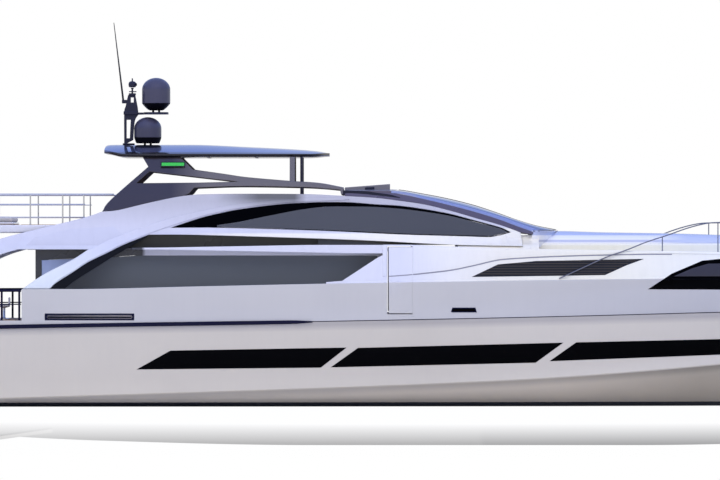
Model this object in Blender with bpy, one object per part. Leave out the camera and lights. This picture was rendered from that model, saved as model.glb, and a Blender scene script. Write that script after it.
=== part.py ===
"""Motor yacht, modelled at half its real size, afloat at its waterline.

Lengths below are those of the real boat in metres, and SCALE turns them into the model's. X runs to the bow,
Y to port and Z up, from the centre line at the waterline amidships.
"""

import math

import bmesh
import bpy
import numpy as np
from mathutils import Vector, geometry

SCALE = 0.5
GAP = 0.0007
CLEAR = 0.014
ROUND_ANGLE = math.radians(50)

STERN_X = -19.6
BOW_X = 21.4
PLATFORM_X = -21.45
SHELL = 0.14
GLASS = 0.05

DECK_Z = 2.87
FLY_SOLE_Z = 6.03
FLY_BOTTOM_Z = 5.77
RAIL_Z = 7.05
BULWARK_Z = 3.91
HARDTOP_Z = 8.30
CABIN_AFT_X = -12.10
CABIN_FORE_X = -0.45
CHEEK_AFT_X = -2.45
HOUSE_Y = 3.30
DOOR_X = (-0.43, 0.4)
DOOR_Z = (3.08, 5.33)
HINGE_FOOT_Y = 4.503
HINGE_LEAN = 0.16
WELL_X = (-0.35, 3.10)
WELL_Y = 2.30
SHAFT_Y = 1.6
RUDDER_X = -18.1
CAMERA_X, CAMERA_Z = -8.98, 10.66
HATCH_X = (15.86, 16.56)
HATCH_Y = 0.35
HATCH_LAP = 0.05
HATCH_THICK = 0.07
WINDLASS_X = (17.2, 17.8)
WINDLASS_Y = 0.75
DRUM_X, DRUM_Y = 17.5, 0.45
THRUSTER_X, THRUSTER_Z, THRUSTER_RADIUS = 14.6, -0.45, 0.26
GARAGE_Z = (0.85, 2.35)
GARAGE_Y = 2.5
STAIR_X = -17.3
STAIR_Y = (2.72, 3.72)
STAIR_RISE = 0.28
STAIR_TREAD = 0.29
STAIR_STEPS = 7
GATE_X = (-15.2, -12.52)
SLOT_X, SLOT_Z = (-11.7, -8.85), (2.9, 3.08)
PLATFORM_Z = (0.2, 0.56)
PILLAR_X, PILLAR_Y = -3.28, 2.45
SPREADER_X = -8.18
LOWER_DOME_X = -8.46

KEEL_Z = [(-19.6, -0.45), (-16, -0.85), (-10, -1.2), (-3, -1.35), (8, -1.35), (13, -1.25), (16, -0.95),
          (17.6, -0.5), (18.7, 0.1), (19.6, 1.1), (20.5, 2.6), (21.2, 3.95), (21.4, 4.25)]
CHINE_Z = [(-19.6, 0.1), (-13.3, 0.28), (-1.3, 0.67), (4.5, 0.93), (10.7, 1.4), (15, 1.85), (19.9, 2.4),
           (21.4, 2.6)]
CHINE_Y = [(-19.6, 3.72), (-13, 3.95), (-4, 4.02), (3, 3.9), (8, 3.35), (11, 2.75), (14, 1.95), (17, 1.1), (19, 0.5),
           (20.2, 0.16), (21.4, 0.07)]
RUB_Z = [(-19.6, 2.5), (-13.33, 2.67), (-2.9, 2.84), (4, 2.977), (10.67, 3.143), (16, 3.28), (21.4, 3.45)]
RUB_Y = [(-19.6, 3.95), (-13, 4.25), (-6, 4.35), (1, 4.35), (5, 4.27), (9, 3.95), (12, 3.45), (15, 2.7), (18, 1.7),
         (20, 0.8), (21.4, 0.1)]
CREASE_Z = [(-19.6, 2.75), (-18, 3.3), (-16.6, 3.91), (-11, 3.91), (-6.67, 4.0), (-2, 4.1), (2.5, 4.173),
            (7.5, 4.243), (14, 4.3), (21.4, 4.4)]
CREASE_Y = [(-19.6, 3.93), (-13, 4.23), (-6, 4.32), (1, 4.32), (5, 4.26), (9, 4.0), (12, 3.6), (15, 2.95), (18, 2.0),
            (20, 1.08), (21.4, 0.14)]
SHEER_Z = [(-2.5, 5.38), (0, 5.38), (1.67, 5.32), (3.3, 5.27), (5, 5.23), (8.7, 5.17), (14, 5.08), (18, 4.95),
           (21.4, 4.8)]

WING_OUTLINE = [
    (-16.3, BULWARK_Z + GAP), (-15.4, 4.55), (-14.4, 5.15), (-13.33, 5.55), (-12, 5.9), (-10.83, 6.18), (-10.2, 6.36),
    (-9.9, 6.47), (-9.33, 6.53), (-8.33, 6.77), (-7.17, 7.0), (-6, 7.06), (-3.33, 7.06), (-1.93, 7.02),
    (-0.83, 6.95), (0, 6.83), (0.83, 6.69), (1.67, 6.47), (2.5, 6.23), (3.33, 5.97), (4.0, 5.74),
    (4.05, 5.43), (1.67, 5.46), (0, 5.48), (-1.67, 5.54), (-3.33, 5.6), (-6.67, 5.7), (-8.33, 5.71),
    (-9.17, 5.37), (-9.67, 5.12), (-10.33, 4.8), (-10.83, 4.47), (-11.33, 4.15), (-11.63, BULWARK_Z + GAP),
    (-12.5, BULWARK_Z + GAP), (-12.1, 4.2), (-11.67, 4.47), (-10.83, 4.9), (-10.33, 5.22), (-12.67, 5.22),
    (-13.33, 5.01), (-14.2, 4.6), (-15, 4.2), (-15.5, BULWARK_Z + GAP),
]
PILOT_WINDOW = [
    (-7.6, 5.94), (-6.67, 6.25), (-6, 6.417), (-5.33, 6.55), (-4.17, 6.70), (-3.33, 6.76), (-2.5, 6.79), (-1.67, 6.78),
    (-0.83, 6.71), (0, 6.64), (0.83, 6.51), (1.67, 6.31), (2.5, 6.09), (3.2, 5.87), (3.45, 5.76), (3.0, 5.63),
    (1.67, 5.667), (0, 5.717), (-1.67, 5.8), (-3.33, 5.867), (-6, 5.94),
]
HULL_WINDOWS = {
    "aft": [(-8.73, 1.25), (-7.6, 1.88), (-1.77, 1.98), (-2.63, 1.31)],
    "mid": [(-2.31, 1.32), (-1.4, 1.97), (5.4, 2.14), (4.48, 1.47)],
    "fore": [(4.93, 1.52), (5.82, 2.15), (13.2, 2.3), (12.3, 1.78)],
}
HULL_WINDOW_BARS = [
    [(-2.5, 1.55), (-2.5, 1.75), (-1.9, 1.75), (-1.9, 1.55)],
    [(4.7, 1.7), (4.7, 1.95), (5.4, 1.95), (5.4, 1.7)],
]
BOW_WINDOW = [(8.18, 3.9), (9.0, 4.43), (10.0, 4.85), (10.67, 4.92), (13.4, 4.90), (12.6, 3.88)]
GRILLE_AFT = [(2.35, 4.31), (3.23, 4.73), (4.5, 4.84), (5.7, 4.863), (6.9, 4.887), (8.08, 4.91)]
GRILLE_FORE = [(6.77, 4.37), (7.5, 4.7), (8.08, 4.91)]
GRILLE = GRILLE_AFT + [(7.5, 4.7), (6.77, 4.37), (5.67, 4.355), (4.57, 4.34), (3.45, 4.325)]
SALOON_WINDOW = [(-11.9, 3.45), (-11.9, 4.87), (-9.5, 4.97), (-8.9, 5.02), (-0.75, 5.02), (-0.75, 3.45)]
WINDSCREEN_Z = [(-1.9, 7.22), (-0.3, 7.233), (0.83, 7.073), (1.67, 6.91), (2.5, 6.7), (3.33, 6.42), (4, 6.175),
                (4.67, 5.985), (5.33, 5.867)]
FRAME_TOP = [(-1.84, 7.10), (-0.3, 7.09), (0.83, 6.88), (1.67, 6.68), (2.5, 6.46), (3.33, 6.2), (3.83, 6.01),
             (4.42, 5.8)]
UPPER_DECK_UNDER = [(-14, 5.21), (-8, 5.21), (-1.67, 5.09), (5, 5.09)]
UPPER_DECK_OVER = [(-14, 5.28), (-8, 5.28), (-3, 5.37), (5, 5.37)]
NOTCH_X = -0.56
HARDTOP_FRAME = [
    (-8.57, HARDTOP_Z - GAP), (-7.3, HARDTOP_Z - GAP), (-6.88, 7.88), (-5.83, 7.73), (-5.07, 7.62), (-3.67, 7.5),
    (-2.67, 7.43), (-1.87, 7.28), (-1.88, 7.05), (-1.96, 7.06), (-1.99, 7.2), (-2.5, 7.25), (-3.33, 7.29),
    (-5.33, 7.32), (-6.83, 7.27), (-7.17, 7.0 + GAP), (-8.33, 6.77 + GAP), (-9.33, 6.53 + GAP), (-9.88, 6.475),
    (-9.6, 6.87), (-8.37, 7.97),
]
HARDTOP_FRAME_HOLE = [(-8.33, 7.81), (-8.75, 7.42), (-6.7, 7.44), (-5.4, 7.47)]
HARDTOP_HALF = [(-9.85, 2.3), (-9.6, 2.6), (-8.5, 2.85), (-5, 2.85), (-3.4, 2.6), (-2.7, 1.9), (-2.35, 0.9)]
HARDTOP_TOP = [(-9.85, 8.64), (-9.3, 8.73), (-7, 8.73), (-5, 8.65), (-3.3, 8.56), (-2.67, 8.5), (-2.35, 8.43)]
TRUNK_HALF = [(3.4, 3.05), (5.4, 2.85), (8, 2.4), (11, 1.75), (13.2, 1.15), (13.7, 0.8)]
TRUNK_TOP = [(4.3, 5.72), (5.35, 5.84), (6.67, 5.8), (9, 5.76), (12, 5.65), (13.6, 5.48)]

RECESS = 0.13
PLATE = 0.07
RAISED = 0.02
NOSE_X = 19.01
FORE_STATIONS = [CHEEK_AFT_X, -1.5, -0.585, -0.565, -0.46, -0.45, 0.6, 1.8, 3, 4.2, 5.4, 6.6, 7.8, 9, 10.2, 11.4, 12.6,
                 13.8, 15, 16.2, 17.2, 18.2, 19, 19.02, 19.7, 20.3, 20.8, 21.2, BOW_X - 0.02]
HOLLOWED = ("hull", "foredeck", "forehouse_starboard", "forehouse_port")
SHOULDER = [(-2.45, 4.3), (-0.62, 4.33), (0.83, 4.45), (1.67, 4.55), (2.5, 4.72), (3.33, 4.9), (5, 5.0), (8.5, 5.08),
            (12, 5.03), (16, 4.93), (18.5, 4.87), (21.4, 4.74)]
ARCH_BAND = [
    (-12.46, BULWARK_Z + 0.02), (-12.09, 4.18), (-11.66, 4.45), (-10.82, 4.88), (-10.32, 5.18), (-9.67, 5.53),
    (-9.33, 5.67), (-8.3, 6.05), (-7.2, 6.37), (-6, 6.62), (-5, 6.78), (-3.33, 6.92), (-1.93, 6.93), (-1.67, 6.82), (-2.5, 6.83),
    (-3.33, 6.8), (-4.17, 6.74), (-5.33, 6.59), (-6, 6.457), (-6.67, 6.29), (-7.68, 5.95), (-8.33, 5.73), (-9.17, 5.4),
    (-9.67, 5.15), (-10.33, 4.83), (-10.83, 4.5), (-11.33, 4.18), (-11.6, BULWARK_Z + 0.02),
]
BLADE_LEVELS = [4.4, 4.485, 4.57, 4.655, 4.74, 4.825]
BLADE_HIGH = 0.035
VISOR = [(-1.67, 7.27), (-0.35, 7.40), (-0.35, 7.43), (-1.67, 7.32)]
VISOR_Y = 1.5
VISOR_FOOT = [(-1.17, 7.14), (-0.5, 7.14), (-0.5, 7.41), (-1.17, 7.34)]
VISOR_FOOT_Y = (0.6, 1.1)
CONSOLE = [(-3.1, FLY_SOLE_Z - 0.05), (-3.1, 6.75), (-2.75, 7.0), (-2.65, 7.0), (-2.65, FLY_SOLE_Z - 0.05)]
CONSOLE_Y = (-1.6, 0.8)
SOLE_PANEL = (-12.6, -9.95, 2.6)
DOME = [(0.2, 0), (0.3, 0.05), (0.42, 0.17), (0.475, 0.3), (0.475, 0.62), (0.44, 0.83), (0.34, 0.99), (0.18, 1.08),
        (0.05, 1.1)]
BLADE_SECTIONS = [(0.07, 0.24, 0.95), (0.2, 0.34, 0.75), (0.35, 0.4, 0.55), (0.48, 0.32, 0.42), (0.56, 0.12, 0.38)]
CAMERA_SHELL = [(0.09, 0), (0.125, 0.03), (0.13, 0.1), (0.12, 0.16), (0.08, 0.2), (0.035, 0.21), (0.02, 0.31)]

MATERIALS = {
    "hull_white": ((0.60, 0.58, 0.58), 0.3, 0.0),
    "cabin_white": ((0.75, 0.76, 0.80), 0.3, 0.0),
    "deck_teak": ((0.42, 0.30, 0.18), 0.7, 0.0),
    "dark_glass": ((0.02, 0.02, 0.025), 0.08, 0.0),
    "grey_glass": ((0.09, 0.10, 0.12), 0.1, 0.0),
    "dark_metal": ((0.08, 0.075, 0.10), 0.35, 0.6),
    "dome_grey": ((0.10, 0.095, 0.13), 0.4, 0.0),
    "navy": ((0.02, 0.02, 0.06), 0.4, 0.0),
    "steel": ((0.6, 0.6, 0.62), 0.2, 1.0),
    "bronze": ((0.55, 0.36, 0.16), 0.3, 1.0),
    "cushion": ((0.72, 0.70, 0.66), 0.8, 0.0),
    "signal_green": ((0.07, 0.55, 0.10), 0.3, 0.0),
    "signal_red": ((0.6, 0.04, 0.04), 0.3, 0.0),
}


def clear_scene():
    for item in list(bpy.data.objects):
        bpy.data.objects.remove(item, do_unlink=True)


def material(name):
    """The Principled material of this name, made once."""
    found = bpy.data.materials.get(name)
    if found:
        return found
    colour, roughness, metallic = MATERIALS[name]
    made = bpy.data.materials.new(name)
    made.use_nodes = True
    shader = made.node_tree.nodes["Principled BSDF"]
    shader.inputs["Base Color"].default_value = (*colour, 1)
    shader.inputs["Roughness"].default_value = roughness
    shader.inputs["Metallic"].default_value = metallic
    return made


def line(points):
    """A smooth curve through (x, value) points, as a function: cubic pieces whose slopes never overshoot."""
    xs = np.array([p[0] for p in points], float)
    ys = np.array([p[1] for p in points], float)
    steps = np.diff(xs)
    slopes = np.diff(ys) / steps
    tangents = np.zeros(len(xs))
    tangents[0] = slopes[0]
    tangents[-1] = slopes[-1]
    same = slopes[:-1] * slopes[1:] > 0
    harmonic = 2 * slopes[:-1] * slopes[1:] / np.where(same, slopes[:-1] + slopes[1:], 1)
    tangents[1:-1] = np.where(same, harmonic, 0)

    def value(x):
        i = int(np.clip(np.searchsorted(xs, x) - 1, 0, len(steps) - 1))
        t = min(max((x - xs[i]) / steps[i], 0), 1)
        ends = (2 * t**3 - 3 * t**2 + 1) * ys[i] + (3 * t**2 - 2 * t**3) * ys[i + 1]
        bend = (t**3 - 2 * t**2 + t) * tangents[i] + (t**3 - t**2) * tangents[i + 1]
        return float(ends + bend * steps[i])

    return value


keel_z, chine_z, chine_y = line(KEEL_Z), line(CHINE_Z), line(CHINE_Y)
rub_z, rub_y, crease_z, crease_y = line(RUB_Z), line(RUB_Y), line(CREASE_Z), line(CREASE_Y)
sheer_z, windscreen_z, shoulder_z = line(SHEER_Z), line(WINDSCREEN_Z), line(SHOULDER)


def straight(points):
    """Straight runs between (x, value) points, as a function."""
    xs, values = zip(*points)
    return lambda x: float(np.interp(x, xs, values))


frame_top, deck_under, deck_over = straight(FRAME_TOP), straight(UPPER_DECK_UNDER), straight(UPPER_DECK_OVER)


def smoothstep(x, start, end):
    t = min(max((x - start) / (end - start), 0), 1)
    return t * t * (3 - 2 * t)


def hull_y(x, z):
    """Half breadth of the hull's skin: straight below the chine, flared above it, upright above the rub rail."""
    low, high = chine_z(x), rub_z(x)
    if z >= high:
        t = min((z - high) / (crease_z(x) - high), 1)
        return rub_y(x) + (crease_y(x) - rub_y(x)) * t
    t = max((z - low) / (high - low), 0)
    flare = 1 + 0.9 * smoothstep(x, 4, 17)
    return chine_y(x) + (rub_y(x) - chine_y(x)) * t**flare


def side_y(x, z):
    """Half breadth above the crease, where the side steps in and leans inward."""
    rise = max(z - crease_z(x), 0)
    return crease_y(x) - 0.10 - 0.16 * rise - 0.03 * rise**2


def upper_y(x, z):
    """Half breadth of the wheelhouse side, which draws in toward the windscreen."""
    return side_y(x, z) - 0.75 * smoothstep(x, -2, 5) * smoothstep(z, 5.2, 5.6)


def floor_z(x):
    """Height of the main deck, which rises toward the stem."""
    return DECK_Z + 0.8 * smoothstep(x, 9, 20)


def outer_y(x, z):
    return hull_y(x, z) if z < crease_z(x) else side_y(x, z)


def solid(name, verts, faces, finish=None, origin=(0, 0, 0)):
    """An object from full-size points, scaled, closed, facing out, with its own origin."""
    start = Vector(origin) * SCALE
    work = bmesh.new()
    points = [work.verts.new(Vector(v) * SCALE - start) for v in verts]
    for face in faces:
        work.faces.new([points[i] for i in face])
    bmesh.ops.remove_doubles(work, verts=work.verts, dist=1e-6)
    bmesh.ops.dissolve_degenerate(work, edges=work.edges, dist=1e-7)
    bmesh.ops.recalc_face_normals(work, faces=work.faces)
    if work.calc_volume(signed=True) < 0:
        bmesh.ops.reverse_faces(work, faces=work.faces)
    mesh = bpy.data.meshes.new(name)
    work.to_mesh(mesh)
    work.free()
    made = bpy.data.objects.new(name, mesh)
    made.location = start
    bpy.context.scene.collection.objects.link(made)
    if finish:
        mesh.materials.append(material(finish))
    return made


def loft(name, rings, finish=None, origin=(0, 0, 0), closed=False, split_ends=False):
    """A skin through rings of equally many points, capped at both ends or closed on itself. Where the rings aren't
    flat, split_ends caps them with a strip of quads between the two halves of the ring."""
    size = len(rings[0])
    verts = [p for ring in rings for p in ring]
    faces = []
    spans = len(rings) if closed else len(rings) - 1
    for i in range(spans):
        a, b = i * size, ((i + 1) % len(rings)) * size
        faces += [(a + j, a + (j + 1) % size, b + (j + 1) % size, b + j) for j in range(size)]
    last = len(verts) - size
    if split_ends:
        strip = [(j, j + 1, size - 2 - j, size - 1 - j) for j in range(size // 2 - 1)]
        faces += strip + [tuple(i + last for i in face) for face in strip]
    elif not closed:
        faces += [tuple(range(size)), tuple(range(last, len(verts)))]
    return solid(name, verts, faces, finish, origin)


def box(name, low, high, finish=None, origin=(0, 0, 0)):
    ring = [(low[0], low[1]), (high[0], low[1]), (high[0], high[1]), (low[0], high[1])]
    return loft(name, [[(x, y, z) for x, y in ring] for z in (low[2], high[2])], finish, origin)


def prism(name, outline, low_y, high_y, finish=None, origin=(0, 0, 0)):
    """An outline in the X-Z plane, carried from one Y to another."""
    return loft(name, [[(x, y, z) for x, z in outline] for y in (low_y, high_y)], finish, origin)


def slab(name, outline, low_z, high_z, finish=None, origin=(0, 0, 0)):
    """An outline in the X-Y plane, carried from one Z to another."""
    return loft(name, [[(x, y, z) for x, y in outline] for z in (low_z, high_z)], finish, origin)


def rounded(made):
    """The same piece, shaded smooth round its curve and crisp at its rims."""
    made.data.shade_smooth()
    made.data.set_sharp_from_angle(angle=ROUND_ANGLE)
    return made


def rod(name, a, b, radius, finish=None, sides=10, end_radius=None, origin=(0, 0, 0)):
    """A round bar from a to b."""
    a, b = Vector(a), Vector(b)
    turn = (b - a).to_track_quat("Z", "Y").to_matrix()
    rings = []
    for centre, r in ((a, radius), (b, end_radius or radius)):
        turns = [2 * math.pi * k / sides for k in range(sides)]
        rings.append([tuple(centre + turn @ Vector((r * math.cos(t), r * math.sin(t), 0))) for t in turns])
    return rounded(loft(name, rings, finish, origin))


def turned(name, profile, centre, finish=None, sides=20, origin=(0, 0, 0)):
    """A solid of revolution about a vertical axis, from (radius, z) points, bottom to top."""
    rings = []
    for radius, z in profile:
        turns = [2 * math.pi * k / sides for k in range(sides)]
        rings.append([(centre[0] + radius * math.cos(t), centre[1] + radius * math.sin(t), z) for t in turns])
    return rounded(loft(name, rings, finish, origin))


def boolean(target, operation, others):
    """Adds one Boolean for each other object, which stays as a hidden helper."""
    for other in others:
        other.hide_render = True
        other.display_type = "WIRE"
        step = target.modifiers.new(other.name, "BOOLEAN")
        step.operation = operation
        step.solver = "MANIFOLD" if target.name in HOLLOWED else "EXACT"
        step.object = other
    return target


def cut(target, *others):
    return boolean(target, "DIFFERENCE", others)


def fuse(target, *others):
    return boolean(target, "UNION", others)


def inside(point, outline):
    """Whether a point lies inside a closed outline."""
    x, z = point
    odd = False
    for (x0, z0), (x1, z1) in zip(outline, outline[1:] + outline[:1]):
        if (z0 > z) != (z1 > z) and x < x0 + (x1 - x0) * (z - z0) / (z1 - z0):
            odd = not odd
    return odd


def inset(outline, distance):
    """The outline moved inward all round by a small distance."""
    area = sum(x0 * z1 - x1 * z0 for (x0, z0), (x1, z1) in zip(outline, outline[1:] + outline[:1]))
    turn = 1 if area > 0 else -1
    moved = []
    for i, (x, z) in enumerate(outline):
        before, after = Vector(outline[i - 1]), Vector(outline[(i + 1) % len(outline)])
        here = Vector((x, z))
        into, out = (here - before).normalized(), (after - here).normalized()
        normal_in, normal_out = Vector((-into.y, into.x)) * turn, Vector((-out.y, out.x)) * turn
        middle = (normal_in + normal_out).normalized()
        reach = distance / max(middle.dot(normal_in), 0.35)
        moved.append(tuple(here + middle * reach))
    return moved


def skin(name, outline, surface, side, outer, inner, finish=None, holes=(), cell=(1.2, 0.6), origin=(0, 0, 0)):
    """A panel that follows a side surface: the outline in X-Z, with Y read from the surface and offset by outer and
    inner. Its triangles join the outline, the holes and a coarse grid between them."""
    loops = [list(outline)] + [list(hole) for hole in holes]
    points, edges = [], []
    for loop in loops:
        first = len(points)
        points += loop
        edges += [(first + i, first + (i + 1) % len(loop)) for i in range(len(loop))]
    xs, zs = [p[0] for p in outline], [p[1] for p in outline]
    margin = 0.25 * min(cell)
    for x in np.arange(math.floor(min(xs) / cell[0]) * cell[0], max(xs), cell[0]):
        for z in np.arange(math.floor(min(zs) / cell[1]) * cell[1], max(zs), cell[1]):
            here = (float(x), float(z))
            far = all(distance_to_loop(here, loop) > margin for loop in loops)
            if far and inside(here, loops[0]) and not any(inside(here, hole) for hole in loops[1:]):
                points.append(here)
    found = geometry.delaunay_2d_cdt([Vector(p) for p in points], edges, [], 0, 1e-6)
    flat = [tuple(p) for p in found[0]]
    kept = []
    for face in found[2]:
        middle = tuple(sum(flat[i][k] for i in face) / len(face) for k in (0, 1))
        if inside(middle, loops[0]) and not any(inside(middle, hole) for hole in loops[1:]):
            kept.append(tuple(face))
    count = len(flat)
    verts = [(x, side * (surface(x, z) + off), z) for off in (outer, inner) for x, z in flat]
    faces = list(kept) + [tuple(i + count for i in reversed(face)) for face in kept]
    used = {}
    for face in kept:
        for a, b in zip(face, face[1:] + face[:1]):
            used.setdefault(frozenset((a, b)), []).append((a, b))
    for sharing in used.values():
        if len(sharing) == 1:
            a, b = sharing[0]
            faces.append((b, a, a + count, b + count))
    live = sorted({i for face in faces for i in face})
    index = {old: new for new, old in enumerate(live)}
    return solid(name, [verts[i] for i in live], [tuple(index[i] for i in f) for f in faces], finish, origin)


def distance_to_loop(point, loop):
    here = Vector(point)
    best = 1e9
    for a, b in zip(loop, loop[1:] + loop[:1]):
        near, share = geometry.intersect_point_line(here, Vector(a), Vector(b))
        near = Vector(a) if share < 0 else Vector(b) if share > 1 else near
        best = min(best, (here - Vector((near.x, near.y))).length)
    return best


def both_sides():
    """(sign of Y, suffix) of starboard and port."""
    return ((-1, "starboard"), (1, "port"))


def transom_x(z):
    """The raked transom's X at this height."""
    return STERN_X + max(z - 0.3, 0) * 0.27


def hull():
    """The hull to the top of its bulwarks: one closed section of bottom, topside, bulwark and deck at each station."""
    stations = sorted(set(np.round(np.concatenate([
        np.arange(STERN_X, 4, 1.4), np.arange(4, 17, 1.0), np.arange(17, BOW_X, 0.45), [20.3, 20.32, BOW_X]]), 3)))
    rings = []
    for x in stations:
        keel = keel_z(x)
        low = max(chine_z(x), keel + 0.05)
        rub = max(rub_z(x), low + 0.08)
        crease = crease_z(x)
        chine = min(chine_y(x), hull_y(x, rub) - 0.005)
        half = [(0.12, keel), (chine, low), (chine + 0.05, low + 0.03)]
        for t in (0.25, 0.5, 0.75, 1):
            z = low + 0.03 + (rub - low - 0.03) * t
            half.append((max(hull_y(x, z), chine + 0.05), z))
        half.append((crease_y(x), crease))
        wall = max(crease_y(x) - SHELL, 0.06)
        deck = floor_z(x) if x < 20.31 else crease - 0.02
        half += [(wall, crease), (max(min(wall, hull_y(x, deck) - SHELL), 0.05), deck)]
        half[0] = (min(0.12, half[1][0] * 0.5), keel)
        rings.append([(x, -y, z) for y, z in half] + [(x, y, z) for y, z in reversed(half)])
    body = loft("hull", rings, "hull_white")
    rake = [(-22, 0.25), (STERN_X - 0.0135, 0.25), (transom_x(5), 5), (-22, 5)]
    cut(body, prism("cut_rake", rake, -6, 6))
    cut(body, box("cut_garage", (-22, -GARAGE_Y, GARAGE_Z[0]), (-15.2, GARAGE_Y, GARAGE_Z[1])))
    steps = [(STAIR_X, 5.0), (STAIR_X, DECK_Z - STAIR_RISE)]
    for i in range(1, STAIR_STEPS + 1):
        edge = STAIR_X - STAIR_TREAD * i
        steps += [(edge, DECK_Z - STAIR_RISE * i), (edge, DECK_Z - STAIR_RISE * (i + 1))]
    steps = steps[:-1] + [(-22, steps[-2][1]), (-22, 5.0)]
    for side, name in both_sides():
        low, high = sorted((side * STAIR_Y[0], side * STAIR_Y[1]))
        cut(body, prism("cut_stair_" + name, steps, low, high))
        low, high = sorted((side * 3.5, side * 5))
        cut(body, box("cut_gate_" + name, (GATE_X[0], low, DECK_Z + 0.002), (GATE_X[1], high, 5)))
        cut(body, box("cut_slot_" + name, (SLOT_X[0], low, SLOT_Z[0]), (SLOT_X[1], high, SLOT_Z[1])))
        cut(body, skin("cut_door_low_" + name, door_outline(), hull_y, side, 0.5, -0.6))
        cut(body, skin("cut_bow_low_" + name, BOW_WINDOW, hull_y, side, 0.5, -0.4, cell=(0.8, 5)))
        for where, outline in HULL_WINDOWS.items():
            cut(body, skin("cut_" + where + "_" + name, outline, hull_y, side, 0.5, -0.12))
        for i, outline in enumerate(HULL_WINDOW_BARS):
            cut(body, skin("cut_bar_" + name + str(i), inset(outline, -0.01), hull_y, side, -0.07, -0.13))
        x, y = RUDDER_X, side * SHAFT_Y
        head = hull_bottom(x, SHAFT_Y)
        pad = strut_head()
        fuse(body, box("add_pad_" + name, (-16.65, y - 0.14, pad), (-16.2, y + 0.14, pad + 0.4)))
        fuse(body, rod("add_bearing_" + name, (x, y, head - 0.12), (x, y, head + 0.3), 0.13, sides=12))
    ends = [(THRUSTER_X, y, THRUSTER_Z) for y in (-4, 4)]
    cut(body, rod("cut_thruster", *ends, THRUSTER_RADIUS, sides=16))


def door_outline(fore=0, aft=0, ends=0):
    """The side door's opening in X-Z, less a margin at its hinge edge, its free edge and its two ends."""
    low, high = DOOR_Z[0] + ends, DOOR_Z[1] - ends
    return [(DOOR_X[0] + aft, low), (DOOR_X[1] - fore, low), (DOOR_X[1] - fore, high), (DOOR_X[0] + aft, high)]


def foredeck_z(x):
    """Height of the foredeck, straight between the forehouse's stations."""
    return straight([(station, sheer_z(station) - RECESS) for station in FORE_STATIONS])(x)


def deck_edge(x):
    """Half breadth of the foredeck, inside the rail that the cabin sides form round it."""
    return max(side_y(x, sheer_z(x)) - 0.12, 0.03)


def forehouse():
    """The sides of the full-beam forward cabin: a wall each side on the bulwark, with a shallow shoulder, that rises
    past the foredeck as its rail and closes over solid at the stem."""
    cheek = [(-4, 3.5), (-4, 6), (-0.6, 6), (-0.6, 5.03), (-0.83, 4.9), (-1.33, 4.57), (-1.93, 4.18), (-2.47, 4.14)]
    for side, name in both_sides():
        rings = []
        for x in FORE_STATIONS:
            low, top, edge = crease_z(x) + GAP, sheer_z(x), deck_edge(x)
            shoulder = shoulder_z(x)
            inner = HOUSE_Y + GAP if -0.57 < x < -0.455 else max(crease_y(x) - SHELL - 0.12, 0.02)
            ceiling = top - RECESS - PLATE - GAP
            foot, last = (inner, low), [(edge, ceiling), (min(inner, edge), ceiling)]
            if x > NOSE_X:
                foot, last = (GAP / 2, low), [(edge, top - RECESS), (GAP / 2, top - RECESS)]
            rise = [(side_y(x, low), low + 0.04), (side_y(x, shoulder), shoulder),
                    (side_y(x, shoulder) + RAISED, shoulder + 0.03), (side_y(x, top) + RAISED / 2, top)]
            rise = [(max(y, 0.04), z) for y, z in rise]
            half = [foot, (crease_y(x) - 0.03, low), *rise, (edge, top), *last]
            rings.append([(x, side * y, z) for y, z in half])
        wall = loft("forehouse_" + name, rings, "cabin_white")
        cut(wall, box("cut_slab_notch_" + name, (-5, -6, 5.02), (NOTCH_X, 6, 8)))
        low, high = sorted((side * 3.35, side * 6))
        cut(wall, prism("cut_cheek_" + name, cheek, low, high))
        cut(wall, skin("cut_door_high_" + name, door_outline(), side_y, side, 0.5, -0.3))
        cut(wall, skin("cut_bow_high_" + name, BOW_WINDOW, side_y, side, 0.5, -0.2, cell=(0.8, 5)))
        cut(wall, skin("cut_grille_" + name, GRILLE, side_y, side, 0.5, -0.07))


def foredeck():
    """The deck between the cabin sides, with the foot of the trunk, the well of the wheelhouse and the hatchway, and
    the twin windlass on its plinth. The hatch lid lies over its hatchway."""
    rings = []
    for x in [NOTCH_X] + [station for station in FORE_STATIONS if NOTCH_X < station < NOSE_X]:
        half, top = deck_edge(x) - GAP, foredeck_z(x)
        rings.append([(x, -half, top - PLATE), (x, half, top - PLATE), (x, half, top), (x, -half, top)])
    deck = loft("foredeck", rings, "cabin_white")
    fuse(deck, *trunk_base())
    cut(deck, box("cut_well", (WELL_X[0], -WELL_Y, 4.5), (WELL_X[1], WELL_Y, 6)))
    cut(deck, box("cut_hatch", (HATCH_X[0], -HATCH_Y, 4.5), (HATCH_X[1], HATCH_Y, 6)))
    base = foredeck_z(WINDLASS_X[0])
    plinth = (WINDLASS_X[0], -WINDLASS_Y, base - 0.03), (WINDLASS_X[1], WINDLASS_Y, base + 0.08)
    fuse(deck, box("add_windlass", *plinth))
    for side, name in both_sides():
        drum = [(0.2, base + 0.05), (0.2, base + 0.14), (0.11, base + 0.18), (0.11, base + 0.3), (0.16, base + 0.36)]
        fuse(deck, turned("add_drum_" + name, drum, (DRUM_X, side * DRUM_Y), sides=12))
    hinge_x, reach = HATCH_X[0] - HATCH_LAP, HATCH_Y + HATCH_LAP
    level = foredeck_z(hinge_x) + GAP
    top = level + HATCH_THICK
    axis = (hinge_x, 0, (level + top) / 2)
    box("hatch_lid", (hinge_x, -reach, level), (HATCH_X[1] + HATCH_LAP, reach, top), "cabin_white", origin=axis)


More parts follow.
